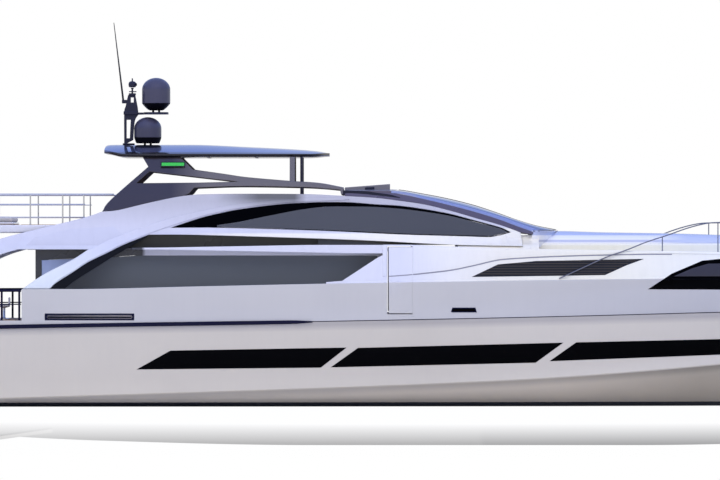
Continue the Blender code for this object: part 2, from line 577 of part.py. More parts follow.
def saloon():
    """Walls of the main deck cabin: aft bulkhead and both sides, open above to the upper deck and forward."""
    low, high = DECK_Z + GAP, 5.3
    lid = [(x, z - GAP) for x, z in UPPER_DECK_UNDER] + [(5, 7), (-14, 7)]
    body = box("saloon_walls", (CABIN_AFT_X, -HOUSE_Y, low), (CABIN_FORE_X, HOUSE_Y, high), "cabin_white")
    cut(body, box("cut_saloon", (CABIN_AFT_X + 0.12, -HOUSE_Y + 0.12, 2), (5, HOUSE_Y - 0.12, 6)))
    cut(body, prism("cut_saloon_top", lid, -5, 5))
    cut(body, box("cut_saloon_aft", (-13, -2.95, 2.95), (-11, 2.95, 4.95)))
    for side, name in both_sides():
        low_y, high_y = sorted((side * 3, side * 4))
        cut(body, prism("cut_saloon_window_" + name, SALOON_WINDOW, low_y, high_y))


def saloon_glass():
    for side, name in both_sides():
        low, high = sorted((side * (HOUSE_Y - 0.03), side * (HOUSE_Y - 0.03 - GLASS)))
        prism("saloon_glass_" + name, inset(SALOON_WINDOW, GAP), low, high, "grey_glass")
        low, high = sorted((side * 0.006, side * 1.05))
        leaf = (CABIN_AFT_X - CLEAR - 0.05, low, DECK_Z + GAP), (CABIN_AFT_X - CLEAR, high, 5.03)
        box("saloon_door_" + name, *leaf, "grey_glass", origin=(CABIN_AFT_X, side * 0.5, DECK_Z))


def aft_glazing():
    """The fixed panes beside the sliding doors, joined over the doorway by their header."""
    low, high = 2.95 + GAP, 4.95 - GAP
    start, end = (CABIN_AFT_X + 0.03, -2.95 + GAP, low), (CABIN_AFT_X + 0.09, 2.95 - GAP, high)
    pane = box("aft_glazing", start, end, "grey_glass")
    cut(pane, box("cut_doorway", (-13, -0.95, 2), (-11, 0.95, 4.8)))


def upper_deck():
    """The deck over the saloon and its side decks, thin at its aft edge."""
    rings = []
    for x in (-12.35, -11, -9.8, -8.9, -8.89, -8, -6.5, -4.7, -3, -1.67, NOTCH_X - GAP):
        half = side_y(x, 5.25) - (SHELL + 0.03 if x < -8.895 else 0)
        low, high = deck_under(x), deck_over(x)
        rings.append([(x, -half, low), (x, half, low), (x, half, high), (x, -half, high)])
    return loft("upper_deck", rings, "cabin_white")


def deck_recess():
    """The set-back band that carries the flybridge deck over the upper deck."""
    rings = []
    for x in (-12.1, -8, -3, -2.6):
        low, high = deck_over(x) + GAP, FLY_BOTTOM_Z + 0.1
        rings.append([(x, -3.1, low), (x, 3.1, low), (x, 3.1, high), (x, -3.1, high)])
    return loft("add_recess", rings)


def fly_deck():
    """The flybridge deck, round at its aft corners, with a raised sole panel and the moulded helm console."""
    rings = []
    for x, half in ((-17.0, 2.2), (-16.9, 2.7), (-16.6, 3.0), (-16, 3.2), (-14.5, 3.35), (-13, 3.45)):
        rings.append((x, half))
    for x in (-11, -9, -7, -5, -3, -2.6):
        rings.append((x, side_y(x, FLY_SOLE_Z) - SHELL - 0.02))
    low, top = FLY_BOTTOM_Z, FLY_SOLE_Z
    sections = [[(x, -h, low), (x, h, low), (x, h, top), (x, -h, top)] for x, h in rings]
    aft, fore, reach = SOLE_PANEL
    panel = box("add_sole_panel", (aft, -reach, FLY_SOLE_Z - 0.05), (fore, reach, FLY_SOLE_Z + 0.02))
    helm = prism("add_console", CONSOLE, *CONSOLE_Y)
    fuse(loft("fly_deck", sections, "cabin_white"), deck_recess(), panel, helm)


def wings():
    """Each side's swooping panel: aft wing, arch, flybridge coaming and the band under the wheelhouse window."""
    for side, name in both_sides():
        wing = skin("wing_" + name, WING_OUTLINE, upper_y, side, 0, -SHELL, "cabin_white", holes=[PILOT_WINDOW])
        fuse(wing, skin("add_band_" + name, ARCH_BAND, upper_y, side, 0.03, -0.05))
        skin("pilot_glass_" + name, inset(PILOT_WINDOW, GAP), upper_y, side, -0.02, -0.02 - GLASS, "dark_glass")
        lower = [(x, z + GAP) for x, z in WING_OUTLINE[13:21]]
        upper = list(reversed(FRAME_TOP))
        lower[0] = (-1.84, 7.02 + GAP)
        skin("screen_frame_" + name, lower + [(4.4, 5.69)] + upper, upper_y, side, -0.01, -0.13, "dark_metal")


def crowned(name, along, finish):
    """Part of the wheelhouse top: lines run aft to fore on the windscreen's profile, lower toward each side, where
    they rest on the window frames, and drawn in to a round nose."""
    across = [-1, -0.9, -0.75, -0.5, -0.25, 0, 0.25, 0.5, 0.75, 0.9, 1]
    start, end = FRAME_TOP[0][0], FRAME_TOP[-1][0]
    thick = 0.07
    rings = []
    for edge_x in along:
        share = (edge_x - start) / (end - start)
        middle = windscreen_z(start + share * (end + 0.9 - start))
        top, bottom = [], []
        for t in across:
            x = start + share * (end + 0.9 * math.sqrt(1 - t * t) - start)
            edge = frame_top(edge_x) + GAP + thick
            y = t * (upper_y(edge_x, frame_top(edge_x)) - 0.03)
            z = edge + (middle - edge) * (1 - t * t)
            top.append((x, y, z))
            bottom.append((x, y, z - thick))
        rings.append(top + list(reversed(bottom)))
    return loft(name, rings, finish, split_ends=True)


def wheelhouse():
    edges = [x for x, z in FRAME_TOP]
    roof = crowned("wheelhouse_roof", [edges[0], -1.0, edges[1] - 2 * GAP], "cabin_white")
    fuse(roof, prism("add_visor", VISOR, -VISOR_Y, VISOR_Y))
    for side, name in both_sides():
        low, high = sorted((side * VISOR_FOOT_Y[0], side * VISOR_FOOT_Y[1]))
        fuse(roof, prism("add_visor_foot_" + name, VISOR_FOOT, low, high))
    crowned("windscreen", edges[1:], "dark_glass")
    edge = [(upper_y(-2.5, z) - SHELL - 0.015, z) for z in (5.37 + GAP, 5.7, 6.1, 6.5, 6.97)]
    ring = edge + [(-y, z) for y, z in reversed(edge)]
    rings = [[(x, y, z) for y, z in ring] for x in (-2.59, -2.47)]
    wall = loft("wheelhouse_bulkhead", rings, "cabin_white")
    cut(wall, box("cut_wheelhouse_door", (-3, 0.9, 5.5), (-2, 1.6, 6.9)))
    low, high = (WELL_X[0] + GAP, -WELL_Y + GAP), (WELL_X[1] - GAP, WELL_Y - GAP)
    tub = box("wheelhouse_sole", (*low, 4.75), (*high, 5.24), "deck_teak")
    cut(tub, box("cut_tub", (low[0] + 0.08, low[1] + 0.08, 4.85), (high[0] - 0.08, high[1] - 0.08, 6)))
    fuse(tub, box("add_dash", (2.3, -1.8, 4.8), (2.95, 1.8, 5.7)))


def trunk_base():
    """The pale foot of the trunk, moulded with the foredeck, and the sill under the windscreen's nose."""
    half = line(TRUNK_HALF)
    rings = []
    for x in (3.35, 4.2, 5.4, 6.7, 8, 9.5, 11, 12.3, 13.2, 13.7):
        low = sheer_z(x) - 0.2
        rings.append([(x, -half(x), low), (x, half(x), low), (x, half(x) - 0.04, 5.42), (x, -half(x) + 0.04, 5.42)])
    base = loft("add_trunk_base", rings)
    rows = []
    for x in (3.5, 4.0, 4.4):
        foot, head = half(x) - 0.12, half(x) - 0.3
        rows.append([(x, -foot, 5.3), (x, foot, 5.3), (x, head, 5.62), (x, -head, 5.62)])
    return base, loft("add_sill", rows)


def trunk_top():
    """The dark crowned top of the trunk, which carries on the windscreen's line."""
    half, top = line(TRUNK_HALF), line(TRUNK_TOP)
    rings = []
    for share in np.linspace(0, 1, 9):
        ring = []
        for t in (-1, -0.85, -0.6, -0.3, 0, 0.3, 0.6, 0.85, 1):
            start = 4.46 + 0.9 * math.sqrt(1 - t * t)
            x = start + share * (13.5 - start)
            ring.append((x, t * (half(x) - 0.16), 5.45 + (top(x) - 5.45) * (1 - t * t * t * t)))
        ring += [(x, y, 5.42 + GAP) for x, y, z in reversed(ring)]
        rings.append(ring)
    return loft("trunk_top", rings, "dark_glass", split_ends=True)


def side_glass():
    """Flush dark windows in the topsides, the bow windows and the louvred grilles."""
    for side, name in both_sides():
        panes = []
        for where, outline in HULL_WINDOWS.items():
            label = "hull_windows_" + name if where == "mid" else "add_" + where + "_" + name
            panes.append(skin(label, inset(outline, GAP), hull_y, side, -0.01, -0.11, "dark_glass"))
        bars = [skin("add_bar_" + name + str(i), outline, hull_y, side, -0.082, -0.118)
                for i, outline in enumerate(HULL_WINDOW_BARS)]
        fuse(panes[1], panes[0], panes[2], *bars)
        skin("bow_window_" + name, inset(BOW_WINDOW, GAP), outer_y, side, -0.01, -0.08, "dark_glass", cell=(0.8, 0.15))
        tray = skin("grille_" + name, inset(GRILLE, GAP), side_y, side, -0.04, -0.063, "navy")
        fuse(tray, *[grille_blade("add_blade_" + name + str(i), level, side) for i, level in enumerate(BLADE_LEVELS)])


def grille_blade(name, level, side):
    """One louvre across the grille at this height, from its slanted aft edge to its forward one."""
    aft_x, aft_z = zip(*GRILLE_AFT)
    fore_x, fore_z = zip(*GRILLE_FORE)
    rows = []
    for z in (level, level + BLADE_HIGH):
        start, end = float(np.interp(z, aft_z, aft_x)) + 0.04, float(np.interp(z, fore_z, fore_x)) - 0.04
        rows.append([(float(x), z) for x in np.linspace(start, end, 6)])
    return skin(name, rows[0] + rows[1][::-1], side_y, side, -0.008, -0.055, cell=(9, 9))


def side_doors():
    """A creased leaf each side. Its hinge line stands just outside the skin at the crease and leans in by HINGE_LEAN
    per metre of height, so every point of the leaf leaves the jamb as it opens."""
    for side, name in both_sides():
        foot = (DOOR_X[1], side * HINGE_FOOT_Y, DOOR_Z[0])
        skin("side_door_" + name, door_outline(GAP, 0.045, 0.03), outer_y, side, -0.005, -0.075, "cabin_white",
             cell=(0.5, 0.2), origin=foot)


def transom():
    """Garage door in the raked transom, hung from its top edge, and the bathing platform below it."""
    low, high, reach = GARAGE_Z[0] + CLEAR, GARAGE_Z[1] - GAP, GARAGE_Y - CLEAR
    start, end = transom_x(low), transom_x(high)
    outline = [(start, low), (end, high), (end + 0.12, high), (start + 0.12, low)]
    axis = (transom_x(GARAGE_Z[1]), 0, GARAGE_Z[1])
    prism("transom_door", outline, -reach, reach, "hull_white", origin=axis)
    outer = [(STERN_X - GAP, -3.6), (-21.0, -3.6), (-21.35, -3.4), (PLATFORM_X, -3.0), (PLATFORM_X, 3.0),
             (-21.35, 3.4), (-21.0, 3.6), (STERN_X - GAP, 3.6)]
    slab("swim_platform", outer, *PLATFORM_Z, "deck_teak")


def hardtop():
    half, top = line(HARDTOP_HALF), line(HARDTOP_TOP)
    rings = []
    for x in (-9.85, -9.7, -9.3, -8.5, -7.5, -6.5, -5.5, -4.5, -3.7, -3.1, -2.7, -2.45, -2.35):
        w, h = half(x), top(x)
        low = HARDTOP_Z + 0.12 * smoothstep(-x, 9.2, 9.85) + 0.04 * smoothstep(x, -3, -2.35)
        upper = [(x, t * w, low + 0.1 + (h - low - 0.1) * (1 - t * t)) for t in (-1, -0.8, -0.5, 0, 0.5, 0.8, 1)]
        rings.append(upper + [(x, w - 0.1, low), (x, 0.1 - w, low)])
    top_piece = loft("hardtop", rings, "dark_metal")
    for side, name in both_sides():
        ends = [(PILLAR_X, side * PILLAR_Y, z) for z in (FLY_SOLE_Z + GAP, HARDTOP_Z + 0.05)]
        fuse(top_piece, rod("add_pillar_" + name, *ends, 0.045))


def frame_y(x, z):
    """Half breadth of the hardtop's side frames, which lean in from the coaming."""
    return upper_y(x, min(z, 7.05)) - 0.015 - 0.55 * max(z - 7.05, 0)


def hardtop_supports():
    for side, name in both_sides():
        holes = [HARDTOP_FRAME_HOLE]
        frame = skin("hardtop_frame_" + name, HARDTOP_FRAME, frame_y, side, 0, -0.11, "dark_metal", holes=holes)
        post = [(-3.67, 7.4), (-3.5, 7.4), (-3.5, HARDTOP_Z - GAP), (-3.67, HARDTOP_Z - GAP)]
        fuse(frame, skin("add_side_pillar_" + name, post, frame_y, side, -0.015, -0.095))
        lamp = [(-7.95, 7.97), (-7.15, 7.97), (-7.15, 8.13), (-7.95, 8.13)]
        colour = "signal_green" if side < 0 else "signal_red"
        skin("nav_light_" + name, lamp, frame_y, side, 0.09, GAP, colour)


def mast():
    """The raked post on the hardtop, its platform for the upper dome, and what stands on it."""
    floor = line(HARDTOP_TOP)(-8.5) + GAP
    outline = [(-9.25, floor), (-9.25, 9.8), (-9.2, 10.03), (-9.12, 10.4), (-8.88, 10.4), (-8.78, 9.815),
               (-8.07, 9.815), (-8.07, 9.74), (-8.78, 9.72), (-8.9, 9.5), (-8.96, floor)]
    body = prism("mast", outline, -0.14, 0.14, "dark_metal")
    cut(body, prism("cut_mast_high", [(-9.03, 10.15), (-9.03, 10.32), (-8.93, 10.32), (-8.93, 10.15)], -1, 1))
    cut(body, prism("cut_mast_low", [(-9.17, 8.95), (-9.17, 9.57), (-9.03, 9.57), (-9.06, 8.95)], -1, 1))
    fuse(body, box("add_mast_top", (-9.1, -0.2, 10.38), (-8.85, 0.2, 10.5)))
    fuse(body, box("add_mast_foot", (-9.3, -0.2, floor), (-8.9, 0.2, floor + 0.05)))
    fuse(body, turned("add_platform", [(0.42, 9.75), (0.42, 9.825)], (SPREADER_X, 0)))
    turned("upper_dome", [(r, 9.825 + GAP + z * 1.05) for r, z in DOME], (SPREADER_X, 0), "dome_grey")
    turned("lower_dome", [(r * 0.94, floor + z * 0.85) for r, z in DOME], (LOWER_DOME_X, 0), "dome_grey")
    axis = CAMERA_X, 0
    pedestal = [(0.09, 10.45), (0.09, 10.6), (0.05, 10.62), (0.05, CAMERA_Z - CLEAR)]
    fuse(body, turned("add_pedestal", pedestal, axis, sides=12))
    shell = [(r, CAMERA_Z + z) for r, z in CAMERA_SHELL]
    head = turned("camera_head", shell, axis, "dome_grey", sides=16, origin=(*axis, CAMERA_Z))
    fuse(head, box("add_lens", (CAMERA_X, -0.07, CAMERA_Z + 0.04), (CAMERA_X + 0.16, 0.07, CAMERA_Z + 0.15)))
    fuse(head, turned("add_spindle", [(0.03, CAMERA_Z - CLEAR + GAP), (0.03, CAMERA_Z + 0.02)], axis, sides=10))
    fuse(body, box("add_aerial_clamp", (-9.32, -0.05, 10.12), (-9.1, 0.05, 10.24)))
    fuse(body, rod("add_aerial", (-9.28, 0, 10.18), (-9.6, 0, 12.83), 0.035, sides=8, end_radius=0.012))


def rail(name, runs, posts, radius, finish):
    """A guard rail: each run is a bent tube through its points, and each post stands from one point to another."""
    parts = []
    for i, run in enumerate(runs):
        parts.append(tube(name + "_run_" + str(i), run, radius, finish))
    for i, (a, b) in enumerate(posts):
        parts.append(rod(name + "_post_" + str(i), a, b, radius * 0.86, finish, sides=8))
    first = parts[0]
    first.name = name
    return fuse(first, *parts[1:])


def tube(name, points, radius, finish, sides=8):
    """A bent round tube, mitred at each point."""
    points = [Vector(p) for p in points]
    rings = []
    for i, here in enumerate(points):
        before = (here - points[i - 1]).normalized() if i else None
        after = (points[i + 1] - here).normalized() if i + 1 < len(points) else None
        along = (before or after) + (after or before)
        along.normalize()
        spread = 1 / max(along.dot(before or after), 0.3)
        across = along.cross(Vector((0, 0, 1))).normalized()
        over = across.cross(along)
        ring = []
        for k in range(sides):
            turn = 2 * math.pi * (k + 0.5) / sides
            out = across * math.cos(turn) + over * math.sin(turn)
            ring.append(tuple(here + out * radius * spread))
        rings.append(ring)
    return rounded(loft(name, rings, finish))


def rails():
    aft = [(-10.45, 3.22), (-13, 3.32), (-14.5, 3.22), (-16, 3.05), (-16.6, 2.85), (-16.85, 2.4)]
    runs = []
    for z in (RAIL_Z, 6.72, 6.29):
        runs.append([(x, -y, z) for x, y in aft] + [(x, y, z) for x, y in reversed(aft)])
    posts = []
    for x, y in ((-10.5, 3.2), (-11.2, 3.245), (-12.27, 3.29), (-13.6, 3.28), (-15, 3.17), (-16.3, 2.95)):
        posts += [((x, s * y, FLY_SOLE_Z + GAP), (x, s * y, RAIL_Z)) for s in (-1, 1)]
    posts += [((-16.85, y, FLY_SOLE_Z + GAP), (-16.85, y, RAIL_Z)) for y in (-1.6, -0.2, 1.3)]
    rail("fly_rail", runs, posts, 0.03, "steel")
    for side, name in both_sides():
        start, end = (side * (crease_y(x) - 0.07) for x in (-15.19, -12.53))
        run = [(-15.19, start, 3.85), (-12.54, end, 3.86)]
        low = [(-15.19, start, 3.4), (-12.54, end, 3.4)]
        stands = []
        for x in (-15.1, -14.3, -13.18, -12.6):
            y = side * (crease_y(x) - 0.07)
            stands.append(((x, y, DECK_Z + 0.003), (x, y, 3.85)))
        rail("cockpit_rail_" + name, [run, low], stands, 0.042, "navy")


def bow_rail():
    """The rail that climbs from the crease to the foredeck on each side and meets round the stem."""
    def at(x, z, side=1):
        return (x, side * (side_y(x, min(z, sheer_z(x))) - 0.05), z)
    climb = [(5.25, 4.26), (6.83, 4.98), (7.5, 5.2), (8.17, 5.48), (8.83, 5.68), (9.5, 5.93), (10.17, 6.1),
             (10.67, 6.12)]
    level = [(13, 6.1), (15, 6.06), (17, 6.0), (18.6, 5.93), (19.8, 5.88)]
    half = [at(x, z) for x, z in climb + level]
    for i, out in enumerate((0.06, 0.06, 0.06, 0.02)):
        x, z = climb[i]
        half[i] = (x, side_y(x, z) + out, z)
    run = [(x, -y, z) for x, y, z in half] + [(x, y, z) for x, y, z in reversed(half)]
    posts = []
    for x in (8.68, 10.53, 12.5, 14.5, 16.5, 18.2, 19.7):
        top = line(climb + level)(x)
        for side, name in both_sides():
            foot = at(x, sheer_z(x) + 0.003, side)
            posts.append((foot, (foot[0], foot[1], top)))
    rail("bow_rail", [run], posts, 0.028, "steel")


def running_gear():
    """Under the hull: shaft with its bracket, propeller and rudder each side."""
    for side, name in both_sides():
        y = side * SHAFT_Y
        aft, fore = Vector((-16.62, y, -1.5)), Vector((-11.6, y, -0.8))
        ahead = (fore - aft).normalized()
        shaft = rod("shaft_" + name, aft, fore, 0.085, "steel", sides=12)
        fuse(shaft, rod("add_boss_" + name, aft, aft + ahead * 0.45, 0.15, sides=12))
        top = strut_head() - GAP
        fuse(shaft, box("add_strut_" + name, (-16.55, y - 0.04, -1.5), (-16.28, y + 0.04, top)))
        propeller(side, name, aft - ahead * CLEAR, ahead)
        x = RUDDER_X
        blade_top = hull_bottom(x, SHAFT_Y) - 0.12 - CLEAR
        foil = [(0.36, 0), (0.3, 0.07), (0.1, 0.1), (-0.25, 0.08), (-0.62, 0.012)]
        outline = foil + [(a, -b) for a, b in reversed(foil[1:])]
        rings = []
        for z, size in ((blade_top, 1), (-1.5, 0.95), (-2.15, 0.82)):
            rings.append([(x + a * size, y + b * size, z) for a, b in outline])
        blade = loft("rudder_" + name, rings, "bronze", origin=(x, y, blade_top))
        fuse(blade, rod("add_stock_" + name, (x, y, blade_top - 0.1), (x, y, blade_top + CLEAR - GAP), 0.08, sides=12))


def hull_bottom(x, y):
    """Height of the hull's bottom at a half breadth inside the chine."""
    return keel_z(x) + (chine_z(x) - keel_z(x)) * (y - 0.12) / (chine_y(x) - 0.12)


def strut_head():
    """Height of the flat pad under the hull that each shaft strut is bolted to."""
    return hull_bottom(-16.2, SHAFT_Y - 0.14) - 0.03


def propeller(side, name, face, ahead):
    """Hub and four blades, built along its own axis from the face behind the shaft boss."""
    tail = face - ahead * 0.34
    hub = rod("propeller_" + name, face, tail, 0.14, "bronze", sides=12, end_radius=0.1, origin=tuple(face))
    along = -ahead
    across = along.cross(Vector((0, 1, 0))).normalized()
    other = along.cross(across)
    centre = face + along * 0.16
    blades = []
    for k in range(4):
        turn = 2 * math.pi * k / 4 + 0.4
        out = across * math.cos(turn) + other * math.sin(turn)
        tangent = along.cross(out)
        rings = []
        for r, chord, pitch in BLADE_SECTIONS:
            lead = (tangent * math.cos(pitch) + along * (math.sin(pitch) * side)) * (chord / 2)
            thickness = 0.035 * (1.1 - r / BLADE_SECTIONS[-1][0]) + 0.008
            thick = (along * math.cos(pitch) - tangent * (math.sin(pitch) * side)) * thickness
            mid = centre + out * r
            rings.append([tuple(mid + lead), tuple(mid + thick), tuple(mid - lead), tuple(mid - thick)])
        blades.append(loft("add_blade_" + name + str(k), rings))
    spindle = rod("add_spindle_" + name, face - ahead * 0.1, face + ahead * (CLEAR - GAP), 0.06, sides=12)
    fuse(hub, spindle, *blades)


def furniture():
    """Plain soft and hard furniture on the open decks and behind the glass."""
    box("cockpit_sofa", (-17.25, -2.6, DECK_Z + GAP), (-16.35, 2.6, 3.35), "cushion")
    leg = [(0.3, DECK_Z + GAP), (0.3, 2.93), (0.08, 2.96), (0.08, 3.58)]
    table = box("cockpit_table", (-15.6, -1.2, 3.55), (-14.4, 1.2, 3.62), "deck_teak")
    fuse(table, turned("add_table_leg", leg, (-15.0, 0), sides=12))
    seat = [(0.22, DECK_Z + GAP), (0.22, 2.9), (0.04, 2.93), (0.04, 3.28), (0.2, 3.3), (0.2, 3.4)]
    chair = turned("cockpit_chair", seat, (-13.2, -1.9), "cushion", sides=12)
    fuse(chair, box("add_chair_back", (-13.06, -2.1, 3.32), (-12.99, -1.7, 3.62)))
    box("fly_sunbed", (-16.2, -2.2, FLY_SOLE_Z + GAP), (-12.85, 2.2, 6.32), "cushion")
    box("fly_sofa", (-8.6, 1.6, FLY_SOLE_Z + GAP), (-5.0, 3.0, 6.48), "cushion")
    box("foredeck_pad", (13.8, -0.9, foredeck_z(13.8) + GAP), (14.9, 0.9, 5.25), "cushion")
    box("saloon_sofa", (-10.8, 1.7, DECK_Z + GAP), (-7.0, 2.9, 3.3), "cushion")


clear_scene()
hull()
forehouse()
foredeck()
saloon()
saloon_glass()
aft_glazing()
upper_deck()
fly_deck()
wings()
wheelhouse()
trunk_top()
side_glass()
side_doors()
transom()
hardtop()
hardtop_supports()
mast()
rails()
bow_rail()
running_gear()
furniture()
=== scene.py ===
"""Motor yacht at half its real size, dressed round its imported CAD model.

Lengths are those of the real boat in metres, from the waterline amidships: X to the bow, Y to port, Z up.
Each mesh is halved as it is made.
"""

import math

import bpy
import numpy as np
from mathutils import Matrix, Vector, geometry


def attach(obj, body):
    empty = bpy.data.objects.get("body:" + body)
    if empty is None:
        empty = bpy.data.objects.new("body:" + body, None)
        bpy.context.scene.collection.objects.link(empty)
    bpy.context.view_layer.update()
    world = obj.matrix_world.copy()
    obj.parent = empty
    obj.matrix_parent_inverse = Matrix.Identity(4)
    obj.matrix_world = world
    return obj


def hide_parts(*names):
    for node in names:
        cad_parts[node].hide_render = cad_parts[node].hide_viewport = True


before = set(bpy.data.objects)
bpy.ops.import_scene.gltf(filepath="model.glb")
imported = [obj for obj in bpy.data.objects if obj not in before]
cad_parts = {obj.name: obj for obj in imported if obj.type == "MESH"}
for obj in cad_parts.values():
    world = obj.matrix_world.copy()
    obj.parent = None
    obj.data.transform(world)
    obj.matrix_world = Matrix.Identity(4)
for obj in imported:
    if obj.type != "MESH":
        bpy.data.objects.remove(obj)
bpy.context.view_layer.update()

# Camera: square to the starboard side and level with it, far off behind a long lens, so that the side is
# drawn almost without perspective. The frame takes in 12 by 8 m of the model.
LENS = 400
SENSOR = 36
VIEW_WIDTH = 12.0
VIEW_MIDDLE = (-0.667, -1.0, 2.767)

camera_data = bpy.data.cameras.new("camera")
camera_data.lens = LENS
camera_data.sensor_width = SENSOR
camera_data.clip_end = 1000
camera = bpy.data.objects.new("camera", camera_data)
camera.location = (VIEW_MIDDLE[0], VIEW_MIDDLE[1] - VIEW_WIDTH * LENS / SENSOR, VIEW_MIDDLE[2])
camera.rotation_euler = (math.radians(90), 0, 0)
bpy.context.scene.collection.objects.link(camera)
bpy.context.scene.camera = camera
bpy.context.scene.view_settings.view_transform = "Standard"

# Floor and light: a pale round floor at the waterline fades out into a white surround. The sky lights from
# all round, cooler overhead, with a broad soft lamp high to starboard and a weaker one to port.
FLOOR_RADIUS = 34.0
FADE_RADIUS = 14.0
SKY_LEVEL = 0.8
SKY_COLOURS = ((0.0, (0.62, 0.60, 0.60)), (0.49, (0.66, 0.64, 0.63)), (0.5, (0.9, 0.9, 0.93)),
               (0.535, (0.80, 0.85, 1.0)), (0.58, (0.45, 0.58, 1.05)), (0.75, (0.36, 0.50, 1.08)),
               (1.0, (0.30, 0.45, 1.05)))


def node(tree, kind, put=None, **settings):
    """A shader node of this kind. put maps its inputs to constants or to other nodes' outputs."""
    made = tree.nodes.new("ShaderNode" + kind)
    for key, value in settings.items():
        setattr(made, key, value)
    for key, value in (put or {}).items():
        if isinstance(value, bpy.types.NodeSocket):
            tree.links.new(value, made.inputs[key])
        else:
            made.inputs[key].default_value = value
    return made


def ramp(tree, factor, stops):
    """A colour ramp through (place, colour) stops."""
    made = node(tree, "ValToRGB", {"Fac": factor})
    points = made.color_ramp.elements
    while len(points) < len(stops):
        points.new(0.5)
    for point, (place, colour) in zip(points, stops):
        point.position = place
        point.color = (*colour, 1) if len(colour) == 3 else colour
    return made.outputs["Color"]


def between(tree, value, low, high, start=0.0, end=1.0):
    """start below low, end above high and a straight line between, of a socket's value."""
    steps = {"Value": value, "From Min": low, "From Max": high, "To Min": start, "To Max": end}
    return node(tree, "MapRange", steps).outputs[0]


def maths(tree, operation, first, *second):
    """The result of one operation on sockets or numbers."""
    return node(tree, "Math", dict(enumerate((first, *second))), operation=operation).outputs[0]


def object_spot(tree):
    """The object coordinates, which stay on the piece as it moves."""
    return node(tree, "TexCoord").outputs["Object"]


def full_turn(count):
    """count even steps round a circle, in radians."""
    return np.linspace(0, 2 * math.pi, count + 1)[:-1]


floor_turn = full_turn(96)
floor_mesh = bpy.data.meshes.new("floor")
floor_points = np.stack([FLOOR_RADIUS * np.cos(floor_turn), FLOOR_RADIUS * np.sin(floor_turn),
                         0 * floor_turn], 1)
floor_mesh.from_pydata(floor_points.tolist(), [], [tuple(range(len(floor_turn)))])
floor = bpy.data.objects.new("floor", floor_mesh)
bpy.context.scene.collection.objects.link(floor)
floor_paint = bpy.data.materials.new("floor_paint")
floor_paint.use_nodes = True
tree = floor_paint.node_tree
for label, value in (("Base Color", (0.9, 0.885, 0.87, 1)), ("Roughness", 1.0), ("Specular IOR Level", 0.0)):
    tree.nodes["Principled BSDF"].inputs[label].default_value = value
reach = node(tree, "VectorMath", {0: object_spot(tree)}, operation="LENGTH").outputs["Value"]
fade = between(tree, reach, FADE_RADIUS, FLOOR_RADIUS - 1)
glow = node(tree, "Emission", {"Color": (1, 1, 1, 1)})
share = maths(tree, "MULTIPLY", node(tree, "LightPath").outputs["Is Camera Ray"], 0.97)
lit = node(tree, "MixShader", {"Fac": share, 1: tree.nodes["Principled BSDF"].outputs[0], 2: glow.outputs[0]})
mix = node(tree, "MixShader", {"Fac": fade, 1: lit.outputs[0], 2: node(tree, "BsdfTransparent").outputs[0]})
tree.links.new(mix.outputs[0], tree.nodes["Material Output"].inputs["Surface"])
floor_mesh.materials.append(floor_paint)

world = bpy.data.worlds.new("surround")
bpy.context.scene.world = world
world.use_nodes = True
tree = world.node_tree
up = node(tree, "SeparateXYZ", {0: node(tree, "TexCoord").outputs["Generated"]}).outputs["Z"]
height = between(tree, up, -1.0, 1.0)
sky = node(tree, "Background", {"Color": ramp(tree, height, SKY_COLOURS), "Strength": SKY_LEVEL})
plain = node(tree, "Background", {"Color": (1, 1, 1, 1), "Strength": 1.0})
seen = node(tree, "LightPath").outputs["Is Camera Ray"]
mix = node(tree, "MixShader", {"Fac": seen, 1: sky.outputs[0], 2: plain.outputs[0]})
tree.links.new(mix.outputs[0], tree.nodes["World Output"].inputs["Surface"])

for label, place, size, power, tone in (("high_lamp", (-4, -16, 22), 26, 5200, (1.0, 0.96, 0.9)),
                                        ("far_lamp", (6, 14, 16), 18, 1200, (1.0, 1.0, 1.0))):
    lamp_data = bpy.data.lights.new(label, "AREA")
    lamp_data.size = size
    lamp_data.energy = power
    lamp_data.color = tone
    lamp = bpy.data.objects.new(label, lamp_data)
    lamp.location = place
    lamp.visible_glossy = False
    lamp.rotation_euler = Vector(place).to_track_quat("Z", "Y").to_euler()
    bpy.context.scene.collection.objects.link(lamp)

# Hull lines: the hull is one glass-fibre moulding from keel to bulwark rail, faired to the curves below. What
# is fitted to its side follows them too, as plates that are bent to the same surface.
SCALE = 0.5
STERN_X, BOW_X = -19.6, 21.4
DECK_Z = 2.87
SHELL = 0.14
SHAFT_Y = 1.6
RUDDER_X = -18.1
DOOR_X, DOOR_Z = (-0.43, 0.4), (3.08, 5.33)
SIDES = ((-1, "starboard"), (1, "port"))


def line(*points):
    """A smooth curve through (x, value) points. Between neighbours it is a cubic whose end slopes are the
    harmonic means of the slopes on either side, or 0 at a turning point, so that it never overshoots."""
    xs, ys = np.array(points, float).T
    steps = np.diff(xs)
    slopes = np.diff(ys) / steps
    before, after = slopes[:-1], slopes[1:]
    same = before * after > 0
    inner = np.where(same, 2 * before * after / np.where(same, before + after, 1), 0)
    ends = np.concatenate([slopes[:1], inner, slopes[-1:]])

    def value(x):
        x = np.asarray(x, float)
        i = np.clip(np.searchsorted(xs, x) - 1, 0, len(steps) - 1)
        t = np.clip((x - xs[i]) / steps[i], 0, 1)
        level = (2 * t**3 - 3 * t**2 + 1) * ys[i] + (3 * t**2 - 2 * t**3) * ys[i + 1]
        return level + steps[i] * ((t**3 - 2 * t**2 + t) * ends[i] + (t**3 - t**2) * ends[i + 1])

    return value


def smoothstep(x, start, end):
    """0 before start, 1 after end, and t²(3 - 2t) between."""
    t = np.clip((np.asarray(x, float) - start) / (end - start), 0, 1)
    return t * t * (3 - 2 * t)


